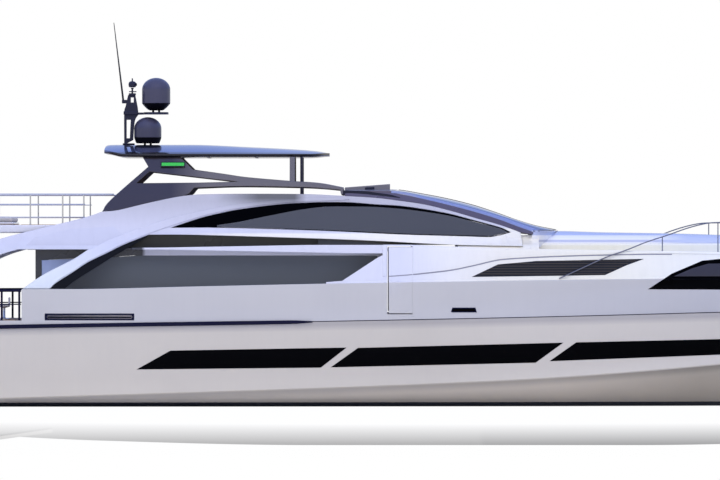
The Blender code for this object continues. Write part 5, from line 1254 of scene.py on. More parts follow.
# Roof visor: a wedge-shaped moulding in grey paint, bonded across the wheelhouse roof, throws the wind over
# the flybridge. A dark foot plate shows at each end of it.
visor = [(-1.84, 7.20), (-0.33, 7.20), (-0.33, 7.405), (-1.84, 7.29)]
visor_paint = sprayed("visor_paint", (0.20, 0.19, 0.21), 0.08, 0.03, 0.3, Coat_Weight=0.5,
                      Coat_Roughness=0.05)
dark_paint = sprayed("dark_paint", (0.022, 0.022, 0.042), 0.06, 0.03, 0.35, Metallic=0.2, Coat_Weight=0.1,
                     Coat_Roughness=0.1, Specular_IOR_Level=0.3)
soften(prism("visor_blade", visor, -1.5, 1.5, "xz", visor_paint, slot="dark_metal"), 0.015)
foot_outline = [(-1.17, 7.17), (-0.85, 7.15), (-0.85, 7.31), (-1.17, 7.29)]
for side, name in SIDES:
    low_y, high_y = sorted((side * 1.4, side * 1.53))
    soften(prism("visor_foot_" + name, foot_outline, low_y, high_y, "xz", dark_paint), 0.02)

# Trunk: a gloss crown carries the windscreen's line forward over the owner's cabin, on a foot moulded with
# the foredeck. Its pale colour is a painted reflection of the sky: tones by height at the nose that settle to
# one blue-grey further ahead.
trunk_ridge = line((4.3, 5.72), (5.35, 5.84), (6.67, 5.8), (9, 5.76), (12, 5.65), (13.6, 5.48))
t = whole[None]
share = np.linspace(0, 1, 40)[:, None]
start = 4.46 + 0.9 * np.sqrt(1 - t * t)
x = start + share * (13.5 - start)
y = t * (trunk_half(x) - 0.16)
z = 5.45 + (trunk_ridge(x) - 5.45) * (1 - t**4)
top = np.stack([x, y, z], 2)
under = np.stack([x, y, 0 * x + 5.4207], 2)[:, ::-1]
crown_gloss, shader = principled("crown_gloss", Roughness=0.05, IOR=1.5, Coat_Weight=0.6, Coat_Roughness=0.02)
tree = crown_gloss.node_tree
place = object_place(tree)
# Tones by height at the nose, blending forward into one blue-grey: a painted reflection of the sky.
tones = ramp(tree, between(tree, place["Z"], 2.65, 2.95), NOSE_REFLECTION_TONES)
tones = mixed(tree, between(tree, place["X"], 4.2, 4.8), tones, (0.60, 0.64, 0.78))
tree.links.new(tones, shader.inputs["Base Color"])
loft("trunk_crown", np.concatenate([top, under], 1), crown_gloss, replaces="trunk_top", angle=50,
     slot="dark_glass")

# Upper deck: the white slab over the saloon, thin at its aft edge and painted near black aft of the arch's
# foot as painted shade, and above it the set-back band, white under the windscreen's nose, that carries the
# flybridge deck. That band is painted near black as painted shade, and a near-black strip behind each wing's
# foot is a sheet of painted shadow. The flybridge deck is round at its aft corners.
FLY_SOLE_Z, FLY_BOTTOM_Z = 6.03, 5.77


def under_z(x):
    """Underside of the upper deck, which steps down toward the bow."""
    return np.interp(x, [-14, -8, -1.67, 5], [5.21, 5.21, 5.09, 5.09])


def over_z(x):
    """Top of the upper deck, which rises toward the bow."""
    return np.interp(x, [-14, -8, -3, 5], [5.28, 5.28, 5.37, 5.37])


xs = np.concatenate([np.linspace(-12.35, -8.9, 8), np.linspace(-8.89, -0.5607, 24)])
half = side_y(xs, 5.25) - np.where(xs < -8.895, SHELL + 0.03, 0)
rings = [np.stack([xs, s * half, edge(xs)], 1)
         for s, edge in ((-1, under_z), (1, under_z), (1, over_z), (-1, over_z))]
# Aft of the arch's foot the slab takes the walls' painted shade, near black.
soften(loft("upper_slab", np.stack(rings, 1), shaded_wall_paint, replaces="upper_deck", slot="cabin_white"), 0.02)
# Near black: painted shade in the recess under the flybridge's overhang.
riser_shade_paint = sprayed("riser_shade_paint", (0.04, 0.036, 0.022), 0.05, 0.03, 0.3, Coat_Weight=0.3,
                      Coat_Roughness=0.1)
xs = np.linspace(-2.72, 1.88, 30)
nose = np.linspace(1.9, 4.6, 20)
nose_top = line((1.9, 5.53), (3.6, 5.50), (4.0, 5.70), (4.6, 5.70))
wing_foot = line((-6.67, 5.7), (-3.33, 5.6), (-1.67, 5.54), (0, 5.48), (1.67, 5.46), (4.05, 5.43))
for side, name in SIDES:
    # Behind each wing's foot a near-black strip fills the gap: a sheet of painted shadow.
    outline = ribbon(xs, np.maximum(sheer_z(xs) - RECESS, over_z(xs)) + 0.003, wing_foot(xs) + 0.08)
    panel("deck_shadow_strip_" + name, outline, upper_y, side, -SHELL - 0.005, -SHELL - 0.05, riser_shade_paint,
          cell=(0.3, 0.1))
    outline = ribbon(nose, sheer_z(nose) - RECESS + 0.003, nose_top(nose))
    panel("nose_upstand_" + name, outline, upper_y, side, -SHELL - 0.005, -SHELL - 0.05, white_paint,
          cell=(0.3, 0.1))
low, high = FLY_BOTTOM_Z, FLY_SOLE_Z
turn = np.linspace(0, math.pi / 2, 9)
corner_x, corner_y = -15.6 - 1.4 * np.sin(turn[::-1]), 2.2 + 0.98 * np.sin(turn)
xs = np.concatenate([corner_x, np.linspace(-15.2, -13, 6), np.linspace(-11, -2.6, 16)])
half = np.concatenate([corner_y, np.interp(xs[9:15], [-15.6, -14.5, -13], [3.2, 3.35, 3.45]),
                       side_y(xs[15:], FLY_SOLE_Z) - SHELL - 0.02])
outline = ribbon(xs, -half, half)
deck = prism("flybridge_slab", outline, low, high, "xy", white_paint, replaces="fly_deck")
soften(deck, 0.04)
prism("flybridge_teak", inset(outline, 0.16), high - 0.004, high + LAY - 0.002, "xy", teak)
block("sole_panel", (-12.6, -2.6, high), (-9.95, 2.6, high + 0.02), teak, 0.004)
xs = np.array([-12.1, -8, -3, -2.6])
foot, head = over_z(xs), 0 * xs + low + 0.05
rings = [np.stack([xs, 0 * xs + y, z], 1) for y, z in ((-3.1, foot), (3.1, foot), (3.1, head), (-3.1, head))]
loft("deck_riser", np.stack(rings, 1), riser_shade_paint)
helm = [(-3.1, high), (-3.1, 6.75), (-2.75, 7.0), (-2.65, 7.0), (-2.65, high)]
soften(prism("flybridge_helm", helm, -1.6, 0.8, "xz", dark_paint), 0.05)

# Wheelhouse inside: a white bulkhead with a doorway closes it aft, and an oak-lined sole let into the forward
# cabin carries the dash under the windscreen. Both show dimly through the side windows.
edge_z = np.array([5.37 + GAP, 5.7, 6.1, 6.5, 6.97])
edge_y = upper_y(-2.5, edge_z) - SHELL - 0.015
ring = np.concatenate([np.stack([edge_y, edge_z], 1), np.stack([-edge_y, edge_z], 1)[::-1]])
bulkhead = loft("wheelhouse_wall", [np.insert(ring, 0, x, axis=1) for x in (-2.59, -2.47)])
bulkhead = carved(bulkhead, [block("cut_way", (-3, 0.9, 5.5), (-2, 1.6, 6.9))])
dress(bulkhead, white_paint, replaces="wheelhouse_bulkhead")
soften(bulkhead, 0.015)
low_x, high_x, reach = WELL_X[0] + GAP, WELL_X[1] - GAP, WELL_Y - GAP
tub = block("wheelhouse_tub", (low_x, -reach, 4.75), (high_x, reach, 5.24))
tub = carved(tub, [block("cut_tub", (low_x + 0.08, 0.08 - reach, 4.85), (high_x - 0.08, reach - 0.08, 6))])
dress(tub, oak, replaces="wheelhouse_sole")
dash = [(2.32, 4.86), (2.32, 5.42), (2.5, 5.66), (2.93, 5.7), (2.93, 4.86)]
soften(prism("wheelhouse_dash", dash, -1.8, 1.8, "xz", dark_paint), 0.03)
for number, y in enumerate((-1.2, -0.4, 0.4, 1.2)):
    pane = [(2.335, 5.455), (2.475, 5.64), (2.46, 5.65), (2.32, 5.465)]
    prism("dash_display_%d" % number, pane, y - 0.33, y + 0.33, "xz", black_glass)

# Hardtop: a thin crowned roof over the flybridge, moulded in one, in blue-grey metallic gloss with a rounded
# rim. Its outer parts are painted bluer, a painted reflection of the sky, and its lower lip is painted near
# black as painted shade. Two slim pillars carry it forward, and round lamps are let in under it.
HARDTOP_Z = 8.30
hardtop_half = line((-9.85, 2.3), (-9.6, 2.6), (-8.5, 2.85), (-5, 2.85), (-3.4, 2.6), (-2.7, 1.9),
                    (-2.35, 0.9))
hardtop_top = line((-9.85, 8.68), (-9.8, 8.715), (-9.6, 8.73), (-9.3, 8.73), (-7, 8.73), (-5, 8.65),
                   (-3.3, 8.56), (-2.67, 8.5), (-2.35, 8.43))
gloss_paint, shader = principled("gloss_paint", Metallic=0.85, Coat_Weight=0.55, Coat_Roughness=0.02,
                                 Coat_IOR=1.7)
tree = gloss_paint.node_tree
place = object_place(tree)
off_middle = maths(tree, "ABSOLUTE", place["Y"])
# Bluer away from the middle line: a painted reflection of the sky.
skin = mixed(tree, between(tree, off_middle, 0.5, 1.2), (0.12, 0.135, 0.20), (0.125, 0.18, 0.42))
# The lower lip is painted near black: painted shade.
skin = mixed(tree, between(tree, place["Z"], 4.224, 4.238), (0.008, 0.006, 0.008), skin)
weathered(tree, shader, skin, 0.05, 0.02, 0.12)


def turned(profile, centre, sides=48):
    """Points and faces of a solid of revolution about a vertical axis, from (radius, z) points upward."""
    profile = np.asarray(profile, float)
    turn = full_turn(sides)
    x, y = centre[0] + profile[:, :1] * np.cos(turn), centre[1] + profile[:, :1] * np.sin(turn)
    return rings_mesh(np.stack([x, y, profile[:, 1:] + 0 * turn], 2))


xs = np.concatenate([[-9.85, -9.82, -9.78], np.linspace(-9.7, -2.8, 44),
                     [-2.7, -2.6, -2.5, -2.43, -2.38, -2.35]])
t = np.sin(np.linspace(-1, 1, 33) * math.pi / 2)[None]
half, peak = hardtop_half(xs)[:, None], hardtop_top(xs)[:, None]
floor_level = HARDTOP_Z + 0.12 * smoothstep(-xs, 9.2, 9.85) + 0.04 * smoothstep(xs, -3, -2.35)
floor_level = floor_level[:, None]
skin_z = floor_level + 0.1 + (peak - floor_level - 0.1) * (1 - t * t)
upper = np.stack([xs[:, None] + 0 * t, t * half, skin_z], 2)
lip = ((0.004, 0.06), (0.02, 0.03), (0.05, 0.01), (0.1, 0))
lower = [np.stack([xs[:, None], s * (half - d), floor_level + h], 2)
         for s, edge in ((1, lip), (-1, lip[::-1])) for d, h in edge]
loft("hardtop_roof", np.concatenate([upper, *lower], 1), gloss_paint, replaces="hardtop", angle=40,
     slot="dark_metal")
pillars = [bar([(-3.28, s * 2.45, FLY_SOLE_Z + LAY), (-3.28, s * 2.45, 7.2),
                (-3.28, s * 2.45, HARDTOP_Z + 0.03)], 0.045) for s in (-1, 1)]
gathered("hardtop_pillars", pillars, dark_paint)
lamp_lens, shader = principled("lamp_lens", Base_Color=(0.9, 0.9, 0.85), Roughness=0.3, Alpha=0.9)
uneven_gloss(lamp_lens, shader, 60.0, 0.2, 0.4)
spots = [turned([(0.0, HARDTOP_Z - 0.012), (0.05, HARDTOP_Z - 0.012), (0.06, HARDTOP_Z - 0.006),
                 (0.06, HARDTOP_Z + 0.02)], (x, y), 24) for x in (-8, -6.4, -4.8) for y in (-1.5, 0, 1.5)]
gathered("hardtop_spots", spots, lamp_lens, slot="steel")

# Hardtop side frames: flat triangulated wings of painted aluminium that rise from the coaming and lean in to
# the hardtop, each with a slim post ahead and a navigation light in its aft shoulder.
HARDTOP_FRAME = flowing(
    [(-8.57, HARDTOP_Z), (-7.3, HARDTOP_Z)],
    [(-7.3, HARDTOP_Z), (-6.88, 7.88)],
    [(-6.88, 7.88), (-5.83, 7.73), (-5.07, 7.62), (-3.67, 7.5), (-2.67, 7.43), (-1.87, 7.28)],
    [(-1.87, 7.28), (-1.88, 7.05)],
    [(-1.88, 7.05), (-1.96, 7.06), (-1.99, 7.2)],
    [(-1.99, 7.2), (-2.5, 7.25), (-3.33, 7.29), (-5.33, 7.32), (-6.83, 7.27)],
    [(-6.83, 7.27), (-7.17, 7.0), (-8.33, 6.77), (-9.33, 6.53), (-9.88, 6.475)],
    [(-9.88, 6.475), (-9.6, 6.87), (-8.37, 7.97)],
    [(-8.37, 7.97), (-8.57, HARDTOP_Z)])
FRAME_HOLE = [(-8.33, 7.81), (-8.75, 7.42), (-6.7, 7.44), (-5.4, 7.47)]


def frame_y(x, z):
    """Half breadth of the side frames: the coaming's up to 7.05 m, and 0.55 m less per metre above."""
    return upper_y(x, np.minimum(z, 7.05)) - 0.015 - 0.55 * np.maximum(z - 7.05, 0)


frame_paint, shader = principled("frame_paint", Metallic=0.35, Coat_Weight=1.0, Coat_Roughness=0.03)
tree = frame_paint.node_tree
# Dark aft and lighter forward of X -7.6 m to -6.4 m: painted light on the frames.
forward = between(tree, object_place(tree)["X"], -3.8, -3.2)
weathered(tree, shader, mixed(tree, forward, (0.046, 0.036, 0.042), (0.17, 0.145, 0.125)), 0.06, 0.03, 0.3)
housing, shader = principled("lamp_housing", Base_Color=(0.01, 0.01, 0.012), Roughness=0.4)
uneven_gloss(housing, shader, 90.0, 0.3, 0.5)
for side, name in SIDES:
    panel("frame_plate_" + name, HARDTOP_FRAME, frame_y, side, 0, -0.11, frame_paint, holes=[FRAME_HOLE],
          cell=(0.3, 0.1), edge=0.03, replaces="hardtop_frame_" + name)
    post = [(-3.67, 7.4), (-3.5, 7.4), (-3.5, HARDTOP_Z), (-3.67, HARDTOP_Z)]
    panel("frame_post_" + name, post, frame_y, side, -0.015, -0.095, frame_paint, cell=(0.1, 0.1), edge=0.02)
    lamp = [(-7.95, 7.97), (-7.15, 7.97), (-7.15, 8.13), (-7.95, 8.13)]
    panel("lamp_box_" + name, lamp, frame_y, side, 0.075, 0.0, housing, cell=(0.2, 0.05), edge=0.015,
          replaces="nav_light_" + name)
    colour = ((0.035, 0.45, 0.045), "signal_green") if side < 0 else ((0.6, 0.03, 0.03), "signal_red")
    lens, shader = principled("lens_" + name, Base_Color=colour[0], Roughness=0.2, Coat_Weight=0.6,
                              Emission_Color=colour[0], Emission_Strength=0.14)
    tree = lens.node_tree
    ribs = node(tree, "TexWave", {"Vector": object_spot(tree), "Scale": 60.0})
    raised(tree, shader, ribs.outputs["Fac"], 0.3, 0.001)
    panel("lamp_lens_" + name, inset(lamp, 0.025), frame_y, side, 0.088, 0.05, lens, cell=(0.2, 0.05),
          edge=0.012, slot=colour[1])

# Mast: a raked plate post on the hardtop, pierced to save weight, with a spreader, a shelf for the upper
# dome, a camera head that pans on top and a whip aerial clamped behind it.
mast_foot = float(hardtop_top(-8.5)) + GAP
MAST = flowing(
    [(-9.25, mast_foot), (-9.25, 9.8), (-9.2, 10.03), (-9.12, 10.4)],
    [(-9.12, 10.4), (-8.88, 10.4)],
    [(-8.88, 10.4), (-8.8, 10.0)],
    [(-8.8, 10.0), (-8.78, 9.815)],
    [(-8.78, 9.815), (-8.25, 9.815)],
    [(-8.25, 9.815), (-8.25, 9.76)],
    [(-8.25, 9.76), (-8.78, 9.74)],
    [(-8.78, 9.74), (-8.9, 9.5), (-8.96, mast_foot)])
post = prism("mast_post", MAST, -0.14, 0.14)
windows = [prism("cut_high", [(-9.03, 10.15), (-9.03, 10.32), (-8.93, 10.32), (-8.93, 10.15)], -1, 1),
           prism("cut_low", [(-9.17, 8.95), (-9.17, 9.57), (-9.03, 9.57), (-9.06, 8.95)], -1, 1)]
post = carved(post, windows, solver="EXACT")
dress(post, dark_paint, replaces="mast")
soften(post, 0.02, 3)
block("mast_spreader", (-9.27, -0.19, 9.73), (-8.79, 0.19, 9.865), dark_paint, 0.03)
block("mast_cap", (-9.1, -0.19, 10.39), (-8.86, 0.19, 10.46), dark_paint, 0.02)
block("mast_plate", (-9.09, -0.19, 10.5), (-8.84, 0.19, 10.53), dark_paint, 0.01)
block("mast_base", (-9.3, -0.2, mast_foot), (-8.9, 0.2, mast_foot + 0.05), dark_paint, 0.02)
CAMERA_X, CAMERA_Z = -8.98, 10.66
stem = [turned([(0.03, 10.44), (0.03, 10.6), (0.05, 10.62), (0.05, CAMERA_Z - CLEAR)], (CAMERA_X, 0), 24),
        turned([(0.42, 9.75), (0.42, 9.775), (0.41, 9.825), (0, 9.825)], (-8.18, 0), 48)]
gathered("mast_shelf", stem, dark_paint)
shell = [(0.0, 0.0), (0.09, 0.0), (0.12, 0.02), (0.125, 0.05), (0.13, 0.09), (0.128, 0.13), (0.11, 0.175),
         (0.07, 0.2), (0.03, 0.207), (0.022, 0.22), (0.02, 0.30), (0.0, 0.31)]
gathered("camera_shell", [turned([(r, CAMERA_Z + z) for r, z in shell], (CAMERA_X, 0), 32)], dark_paint,
         body="camera_head", replaces="camera_head", slot="dome_grey")
block("camera_lens", (CAMERA_X + 0.09, -0.055, CAMERA_Z + 0.05), (CAMERA_X + 0.155, 0.055, CAMERA_Z + 0.14),
      black_glass, 0.015, body="camera_head")
whip = np.stack([np.linspace(-9.28, -9.6, 12), np.zeros(12), np.linspace(10.18, 12.83, 12)], 1)
gathered("mast_whip", [bar(whip, np.linspace(0.035, 0.012, 12), 12)], housing)
block("mast_clamp", (-9.33, -0.05, 10.12), (-9.1, 0.05, 10.24), dark_paint, 0.015)

# Domes: two moulded radomes in satin grey-violet, one on the mast's shelf and one on the hardtop. Each is a
# drum with a domed top over a dark tapered bowl, which stands on four short feet.
dome_paint = sprayed("dome_paint", (0.055, 0.052, 0.088), 0.08, 0.05, 0.38, Coat_Weight=0.35,
                     Coat_Roughness=0.25)
bowl_paint = sprayed("bowl_paint", (0.004, 0.0036, 0.0055), 0.1, 0.05, 0.45, Specular_IOR_Level=0.12)


def radome(name, centre, reach, low, seam_z, shoulder_z, high, node_name, foot=0.45):
    """A quarter ellipse, reach by high - shoulder_z, on a drum, over a bowl that tapers to foot * reach."""
    turn = np.linspace(0, math.pi / 2, 17)
    cap = np.stack([reach * np.cos(turn), shoulder_z + (high - shoulder_z) * np.sin(turn)], 1)
    drum = [(0, seam_z), (reach - 0.012, seam_z), (reach, seam_z + 0.012)]
    gathered(name + "_cover", [turned(np.concatenate([drum, cap]), centre, 64)], dome_paint,
             replaces=node_name, angle=30, slot="dome_grey")
    bend = np.linspace(0, 1, 9)
    radius = reach * (foot + (1 - foot) * bend**0.8)
    height = low + (seam_z - low) * (0.2 + 0.8 * bend**1.15)
    bowl = np.concatenate([[(0, height[0])], np.stack([radius, height], 1),
                           [(reach * 0.97, seam_z + 0.002), (0, seam_z)]])
    feet = []
    for a in np.arange(4) * math.pi / 2 + math.pi / 4:
        spot = (centre[0] + 0.3 * reach * math.cos(a), centre[1] + 0.3 * reach * math.sin(a))
        feet.append(turned([(0.035, low), (0.035, height[2])], spot, 16))
    gathered(name + "_bowl", [turned(bowl, centre, 64), *feet], bowl_paint, angle=30, slot="dome_grey")


radome("upper_radome", (-8.18, 0), 0.475, 9.826, 10.12, 10.58, 10.98, "upper_dome")
radome("lower_radome", (-8.46, 0), 0.458, mast_foot, 8.97, 9.27, 9.66, "lower_dome", 0.82)

# Rails: steel tube, bent and welded. Three polished runs go round the flybridge's aft deck, a duller one
# climbs from each side and goes round the stem, and two navy ones close each side gate of the cockpit.
steel, shader = principled("polished_steel", Base_Color=(0.80, 0.79, 0.78), Metallic=1.0, Roughness=0.16)
uneven_gloss(steel, shader, 30.0, 0.1, 0.24)
RAIL_Z = 7.05


def filleted(points, reach, count=6):
    """Straight runs through the points, with each inner corner eased into a quadratic bend that starts reach
    before the corner and ends reach after it."""
    points = np.asarray(points, float)
    t = np.linspace(0, 1, count + 1)[:, None]
    made = [points[:1]]
    for before, here, after in zip(points[:-2], points[1:-1], points[2:]):
        into, out = here - before, after - here
        lead = here - into * min(reach / np.linalg.norm(into), 0.48)
        trail = here + out * min(reach / np.linalg.norm(out), 0.48)
        made.append(lead * (1 - t) ** 2 + 2 * here * t * (1 - t) + trail * t**2)
    return np.concatenate([*made, points[-1:]])


def post_between(low_point, high_point, radius):
    """A post with a small round foot."""
    low_point, high_point = np.array(low_point, float), np.array(high_point, float)
    lift = (high_point - low_point) / np.linalg.norm(high_point - low_point)
    path = [low_point, low_point + 0.012 * lift, low_point + 0.02 * lift, high_point]
    return bar(path, np.array([1.6, 1.6, 1.0, 1.0]) * radius)


aft = [(-10.45, 3.22), (-13, 3.32), (-14.5, 3.22), (-16, 3.05), (-16.6, 2.85), (-16.85, 2.4)]
parts = []
for z in (RAIL_Z, 6.72, 6.29):
    loop = [(x, -y, z) for x, y in aft] + [(x, y, z) for x, y in reversed(aft)]
    if z == RAIL_Z:
        loop = [(-9.5, -3.2, z), *loop, (-9.5, 3.2, z)]
    parts.append(bar(filleted(loop, 0.25), 0.024 if z == RAIL_Z else 0.015))
for x, y in ((-10.5, 3.2), (-11.2, 3.245), (-12.27, 3.29), (-13.6, 3.28), (-15, 3.17), (-16.3, 2.95)):
    parts += [post_between((x, s * y, FLY_SOLE_Z + LAY), (x, s * y, RAIL_Z), 0.024) for s in (-1, 1)]
parts += [post_between((-16.85, y, FLY_SOLE_Z + LAY), (-16.85, y, RAIL_Z), 0.024) for y in (-1.6, -0.2, 1.3)]
gathered("flybridge_rail", parts, steel, replaces="fly_rail", angle=60)
for side, name in SIDES:
    gate = [side * (float(crease_y(x)) - 0.07) for x in (-15.19, -12.54)]
    parts = []
    for z, thick in ((3.85, 0.042), (3.4, 0.02)):
        run = [(-15.19, gate[0], z), (-13.8, sum(gate) / 2, z + 0.005), (-12.54, gate[1], z + 0.01)]
        parts.append(bar(filleted(run, 0.4), thick))
    for x in (-15.1, -14.3, -13.18, -12.6):
        y = side * (float(crease_y(x)) - 0.07)
        parts.append(post_between((x, y, DECK_Z + 0.003), (x, y, 3.85), 0.036))
    gathered("gate_rail_" + name, parts, rail_paint, replaces="cockpit_rail_" + name, angle=60)
climb = [(5.25, 4.26), (6.83, 4.98), (7.5, 5.2), (8.17, 5.48), (8.83, 5.68), (9.5, 5.93), (10.17, 6.1),
         (10.67, 6.12), (13, 6.1), (15, 6.06), (17, 6.0), (18.6, 5.93), (19.8, 5.88)]
x, z = np.array(climb).T
y = side_y(x, np.minimum(z, sheer_z(x))) - 0.05
y[:4] = side_y(x[:4], z[:4]) + np.array([0.06, 0.06, 0.06, 0.02])
run = np.concatenate([np.stack([x, -y, z], 1), np.stack([x, y, z], 1)[::-1]])
dull_steel = sprayed("dull_steel", (0.30, 0.29, 0.30), 0.1, 0.05, 0.3, Metallic=1.0)
parts = [bar(filleted(run, 0.5, 8), 0.02)]
rail_top = line(*climb)
for x in (8.68, 10.53, 12.5, 14.5, 16.5, 18.2, 19.7):
    y = float(side_y(x, sheer_z(x))) - 0.05
    parts += [post_between((x, s * y, float(sheer_z(x)) + 0.003), (x, s * y, float(rail_top(x))), 0.018)
              for s in (-1, 1)]
gathered("foredeck_rail", parts, dull_steel, replaces="bow_rail", angle=60, slot="steel")

# Foredeck: a twin windlass on its plinth, three pairs of cleats and two stockless anchors hauled up to plates
# at the stem, all in steel. The hatch lid is a white moulding with a dark pane in it, hinged on its aft edge.
DRUM = [(0, 0.06), (0.2, 0.06), (0.2, 0.14), (0.12, 0.17), (0.1, 0.24), (0.12, 0.31), (0.16, 0.34),
        (0.15, 0.36), (0, 0.36)]
HORN = [(-0.22, 0.1), (-0.12, 0.13), (0.12, 0.13), (0.22, 0.1)]
level = float(sheer_z(17.2)) - RECESS
drums = []
for side in (-1, 1):
    drum = [(r, level + h) for r, h in DRUM]
    drums.append(turned(drum, (17.5, side * 0.45), 40))
gathered("windlass_drums", drums, steel, angle=40)
block("windlass_plinth", (17.2, -0.75, level), (17.8, 0.75, level + 0.08), steel, 0.02)
for number, (x, y) in enumerate(((18.3, 0.9), (16.4, 1.55), (12.4, 2.65))):
    y = min(y, float(side_y(x, sheer_z(x))) - 0.3)
    deck_level = float(sheer_z(x)) - RECESS
    for side, name in SIDES:
        run = [(x + d, side * y, deck_level + h) for d, h in HORN]
        horn = bar(filleted(run, 0.05), [0.012] + [0.022] * 14 + [0.012], 12)
        legs = [turned([(0.04, deck_level), (0.025, deck_level + 0.02), (0.022, deck_level + 0.13)],
                       (x + d, side * y), 16) for d in (-0.08, 0.08)]
        gathered("cleat_%s_%d" % (name, number), [horn, *legs], steel, angle=60)
for side, name in SIDES:
    plate = [(18.75, 3.52), (19.72, 3.58), (19.8, 4.12), (18.9, 4.06)]
    panel("hawse_plate_" + name, plate, hull_y, side, 0.008, -0.02, steel, cell=(0.15, 0.15), edge=0.008)
    shank = [(19.0, 3.97), (19.62, 3.76), (19.65, 3.84), (19.03, 4.05)]
    panel("anchor_shank_" + name, shank, hull_y, side, 0.05, 0.009, steel, cell=(0.15, 0.1), edge=0.02)
    fluke = [(19.52, 3.6), (19.72, 3.66), (19.76, 4.0), (19.58, 4.04), (19.66, 3.9), (19.62, 3.76)]
    panel("anchor_fluke_" + name, fluke, hull_y, side, 0.075, 0.02, steel, cell=(0.1, 0.1), edge=0.02)
lid_level = float(np.interp(15.81, [15, 16.2], sheer_z(np.array([15, 16.2])))) - RECESS + GAP
block("hatch_plate", (15.81, -0.4, lid_level), (16.61, 0.4, lid_level + 0.066), white_paint, 0.03,
      body="hatch_lid", replaces="hatch_lid")
block("hatch_pane", (15.93, -0.28, lid_level + 0.05), (16.49, 0.28, lid_level + 0.07), black_glass, 0.008,
      body="hatch_lid")

# Running gear: two raked stainless shafts in brackets, four-bladed bronze propellers and bronze spade
# rudders. The blades are steep at the hub and flatter toward their tips.
bronze = sprayed("cast_bronze", (0.52, 0.33, 0.15), 0.2, 0.1, 0.34, Metallic=1.0)
for side, name in SIDES:
    y = side * SHAFT_Y
    aft_end, fore_end = np.array([-16.62, y, -1.5]), np.array([-11.6, y, -0.8])
    ahead = (fore_end - aft_end) / np.linalg.norm(fore_end - aft_end)
    reach = np.linspace(0, 1, 12)[:, None]
    parts = [bar(aft_end + (fore_end - aft_end) * reach, 0.085, 24),
             bar(aft_end + ahead * np.array([[0], [0.03], [0.42], [0.45]]),
                 np.array([0.13, 0.15, 0.15, 0.12]), 32)]
    gathered("shaft_bar_" + name, parts, steel, replaces="shaft_" + name, angle=50)
    strut_top = hull_bottom(-16.2, SHAFT_Y - 0.14) - 0.03 - GAP
    turn = full_turn(24)
    foil = np.stack([-16.415 + 0.135 * np.cos(turn), y + 0.036 * np.sin(turn)], 1)
    prism("shaft_strut_" + name, foil, -1.5, strut_top, "xy", steel)
    x, blade_top = RUDDER_X, hull_bottom(RUDDER_X, SHAFT_Y) - 0.12 - CLEAR
    turn = full_turn(40)
    chord = -0.13 + 0.49 * np.cos(turn)
    width = 0.1 * np.sin(turn) * (1 + 0.45 * np.cos(turn))
    levels = np.array([blade_top, blade_top - 0.03, -1.5, -1.95, -2.12, -2.15])
    sizes = np.array([0.97, 1.0, 0.95, 0.86, 0.82, 0.8])
    rings = np.stack([x + chord * sizes[:, None], y + width * sizes[:, None], levels[:, None] + 0 * turn], 2)
    stock = turned([(0.08, blade_top - 0.1), (0.08, blade_top + CLEAR - GAP)], (x, y), 24)
    gathered("rudder_blade_" + name, [rings_mesh(rings), stock], bronze, body="rudder_" + name,
             replaces="rudder_" + name, angle=40)
    face = aft_end - ahead * CLEAR
    along = -ahead
    across = np.cross(along, (0, 1, 0))
    across /= np.linalg.norm(across)
    other = np.cross(along, across)
    parts = [bar(face + along * np.array([[0], [0.02], [0.2], [0.32], [0.34]]),
                 np.array([0.13, 0.14, 0.13, 0.1, 0.07]), 32),
             bar([face - ahead * 0.1, face + ahead * (CLEAR - GAP)], 0.06, 24)]
    centre = face + along * 0.16
    span = np.array([0.07, 0.14, 0.2, 0.28, 0.35, 0.42, 0.48, 0.53, 0.555])[:, None]
    chords = np.interp(span, [0.07, 0.2, 0.35, 0.48, 0.555], [0.24, 0.34, 0.4, 0.32, 0.12])
    pitch = np.interp(span, [0.07, 0.2, 0.35, 0.48, 0.555], [0.95, 0.75, 0.55, 0.42, 0.38])
    lens = full_turn(20)[None]
    for k in range(4):
        blade_turn = 2 * math.pi * k / 4 + 0.4
        out = across * math.cos(blade_turn) + other * math.sin(blade_turn)
        tangent = np.cross(along, out)
        chord_run = chords / 2 * np.cos(lens)
        thick = 0.017 * (1.1 - span / 0.56) * np.sin(lens) + 0.006 * np.sin(lens)
        lead = np.cos(pitch)[..., None] * tangent + (side * np.sin(pitch))[..., None] * along
        normal = np.cos(pitch)[..., None] * along - (side * np.sin(pitch))[..., None] * tangent
        rings = centre + span[..., None] * out + chord_run[..., None] * lead + thick[..., None] * normal
        parts.append(rings_mesh(rings))
    gathered("propeller_wheel_" + name, parts, bronze, body="propeller_" + name, replaces="propeller_" + name,
             angle=40)

# Furniture: moulded white bases with loose cushions in woven cloth, darker in the saloon, a teak table on a
# steel leg and a turned steel stool. Each cushion is blown up like the stuffed case that it is.
VOXEL = 0.014
BULGE = 0.013
CLOTH_FRAMES = 20


def cloth_finish(name, warp, weft):
    """Plain weave in two yarns, whose pattern follows object coordinates."""
    made, shader = principled(name, Roughness=0.85, Sheen_Weight=0.25, Sheen_Roughness=0.5)
    tree = made.node_tree
    spot = object_spot(tree)
    yarns = [node(tree, "TexWave", {"Vector": spot, "Scale": 90.0, "Distortion": 0.4},
                  bands_direction=way).outputs["Fac"] for way in ("X", "Y")]
    fade = node(tree, "TexNoise", {"Vector": spot, "Scale": 4.0, "Detail": 3.0}).outputs["Fac"]
    colour = mixed(tree, maths(tree, "GREATER_THAN", *yarns), warp, weft)
    worn = scaled(tree, colour, between(tree, fade, 0.3, 0.7, 0.88, 1.05))
    tree.links.new(worn, shader.inputs["Base Color"])
    raised(tree, shader, maths(tree, "MAXIMUM", *yarns), 0.35, 0.0008)
    return made


deck_cloth = cloth_finish("deck_cloth", (0.60, 0.59, 0.58), (0.50, 0.49, 0.49))
saloon_cloth = cloth_finish("saloon_cloth", (0.20, 0.18, 0.16), (0.14, 0.125, 0.11))
cushions = []


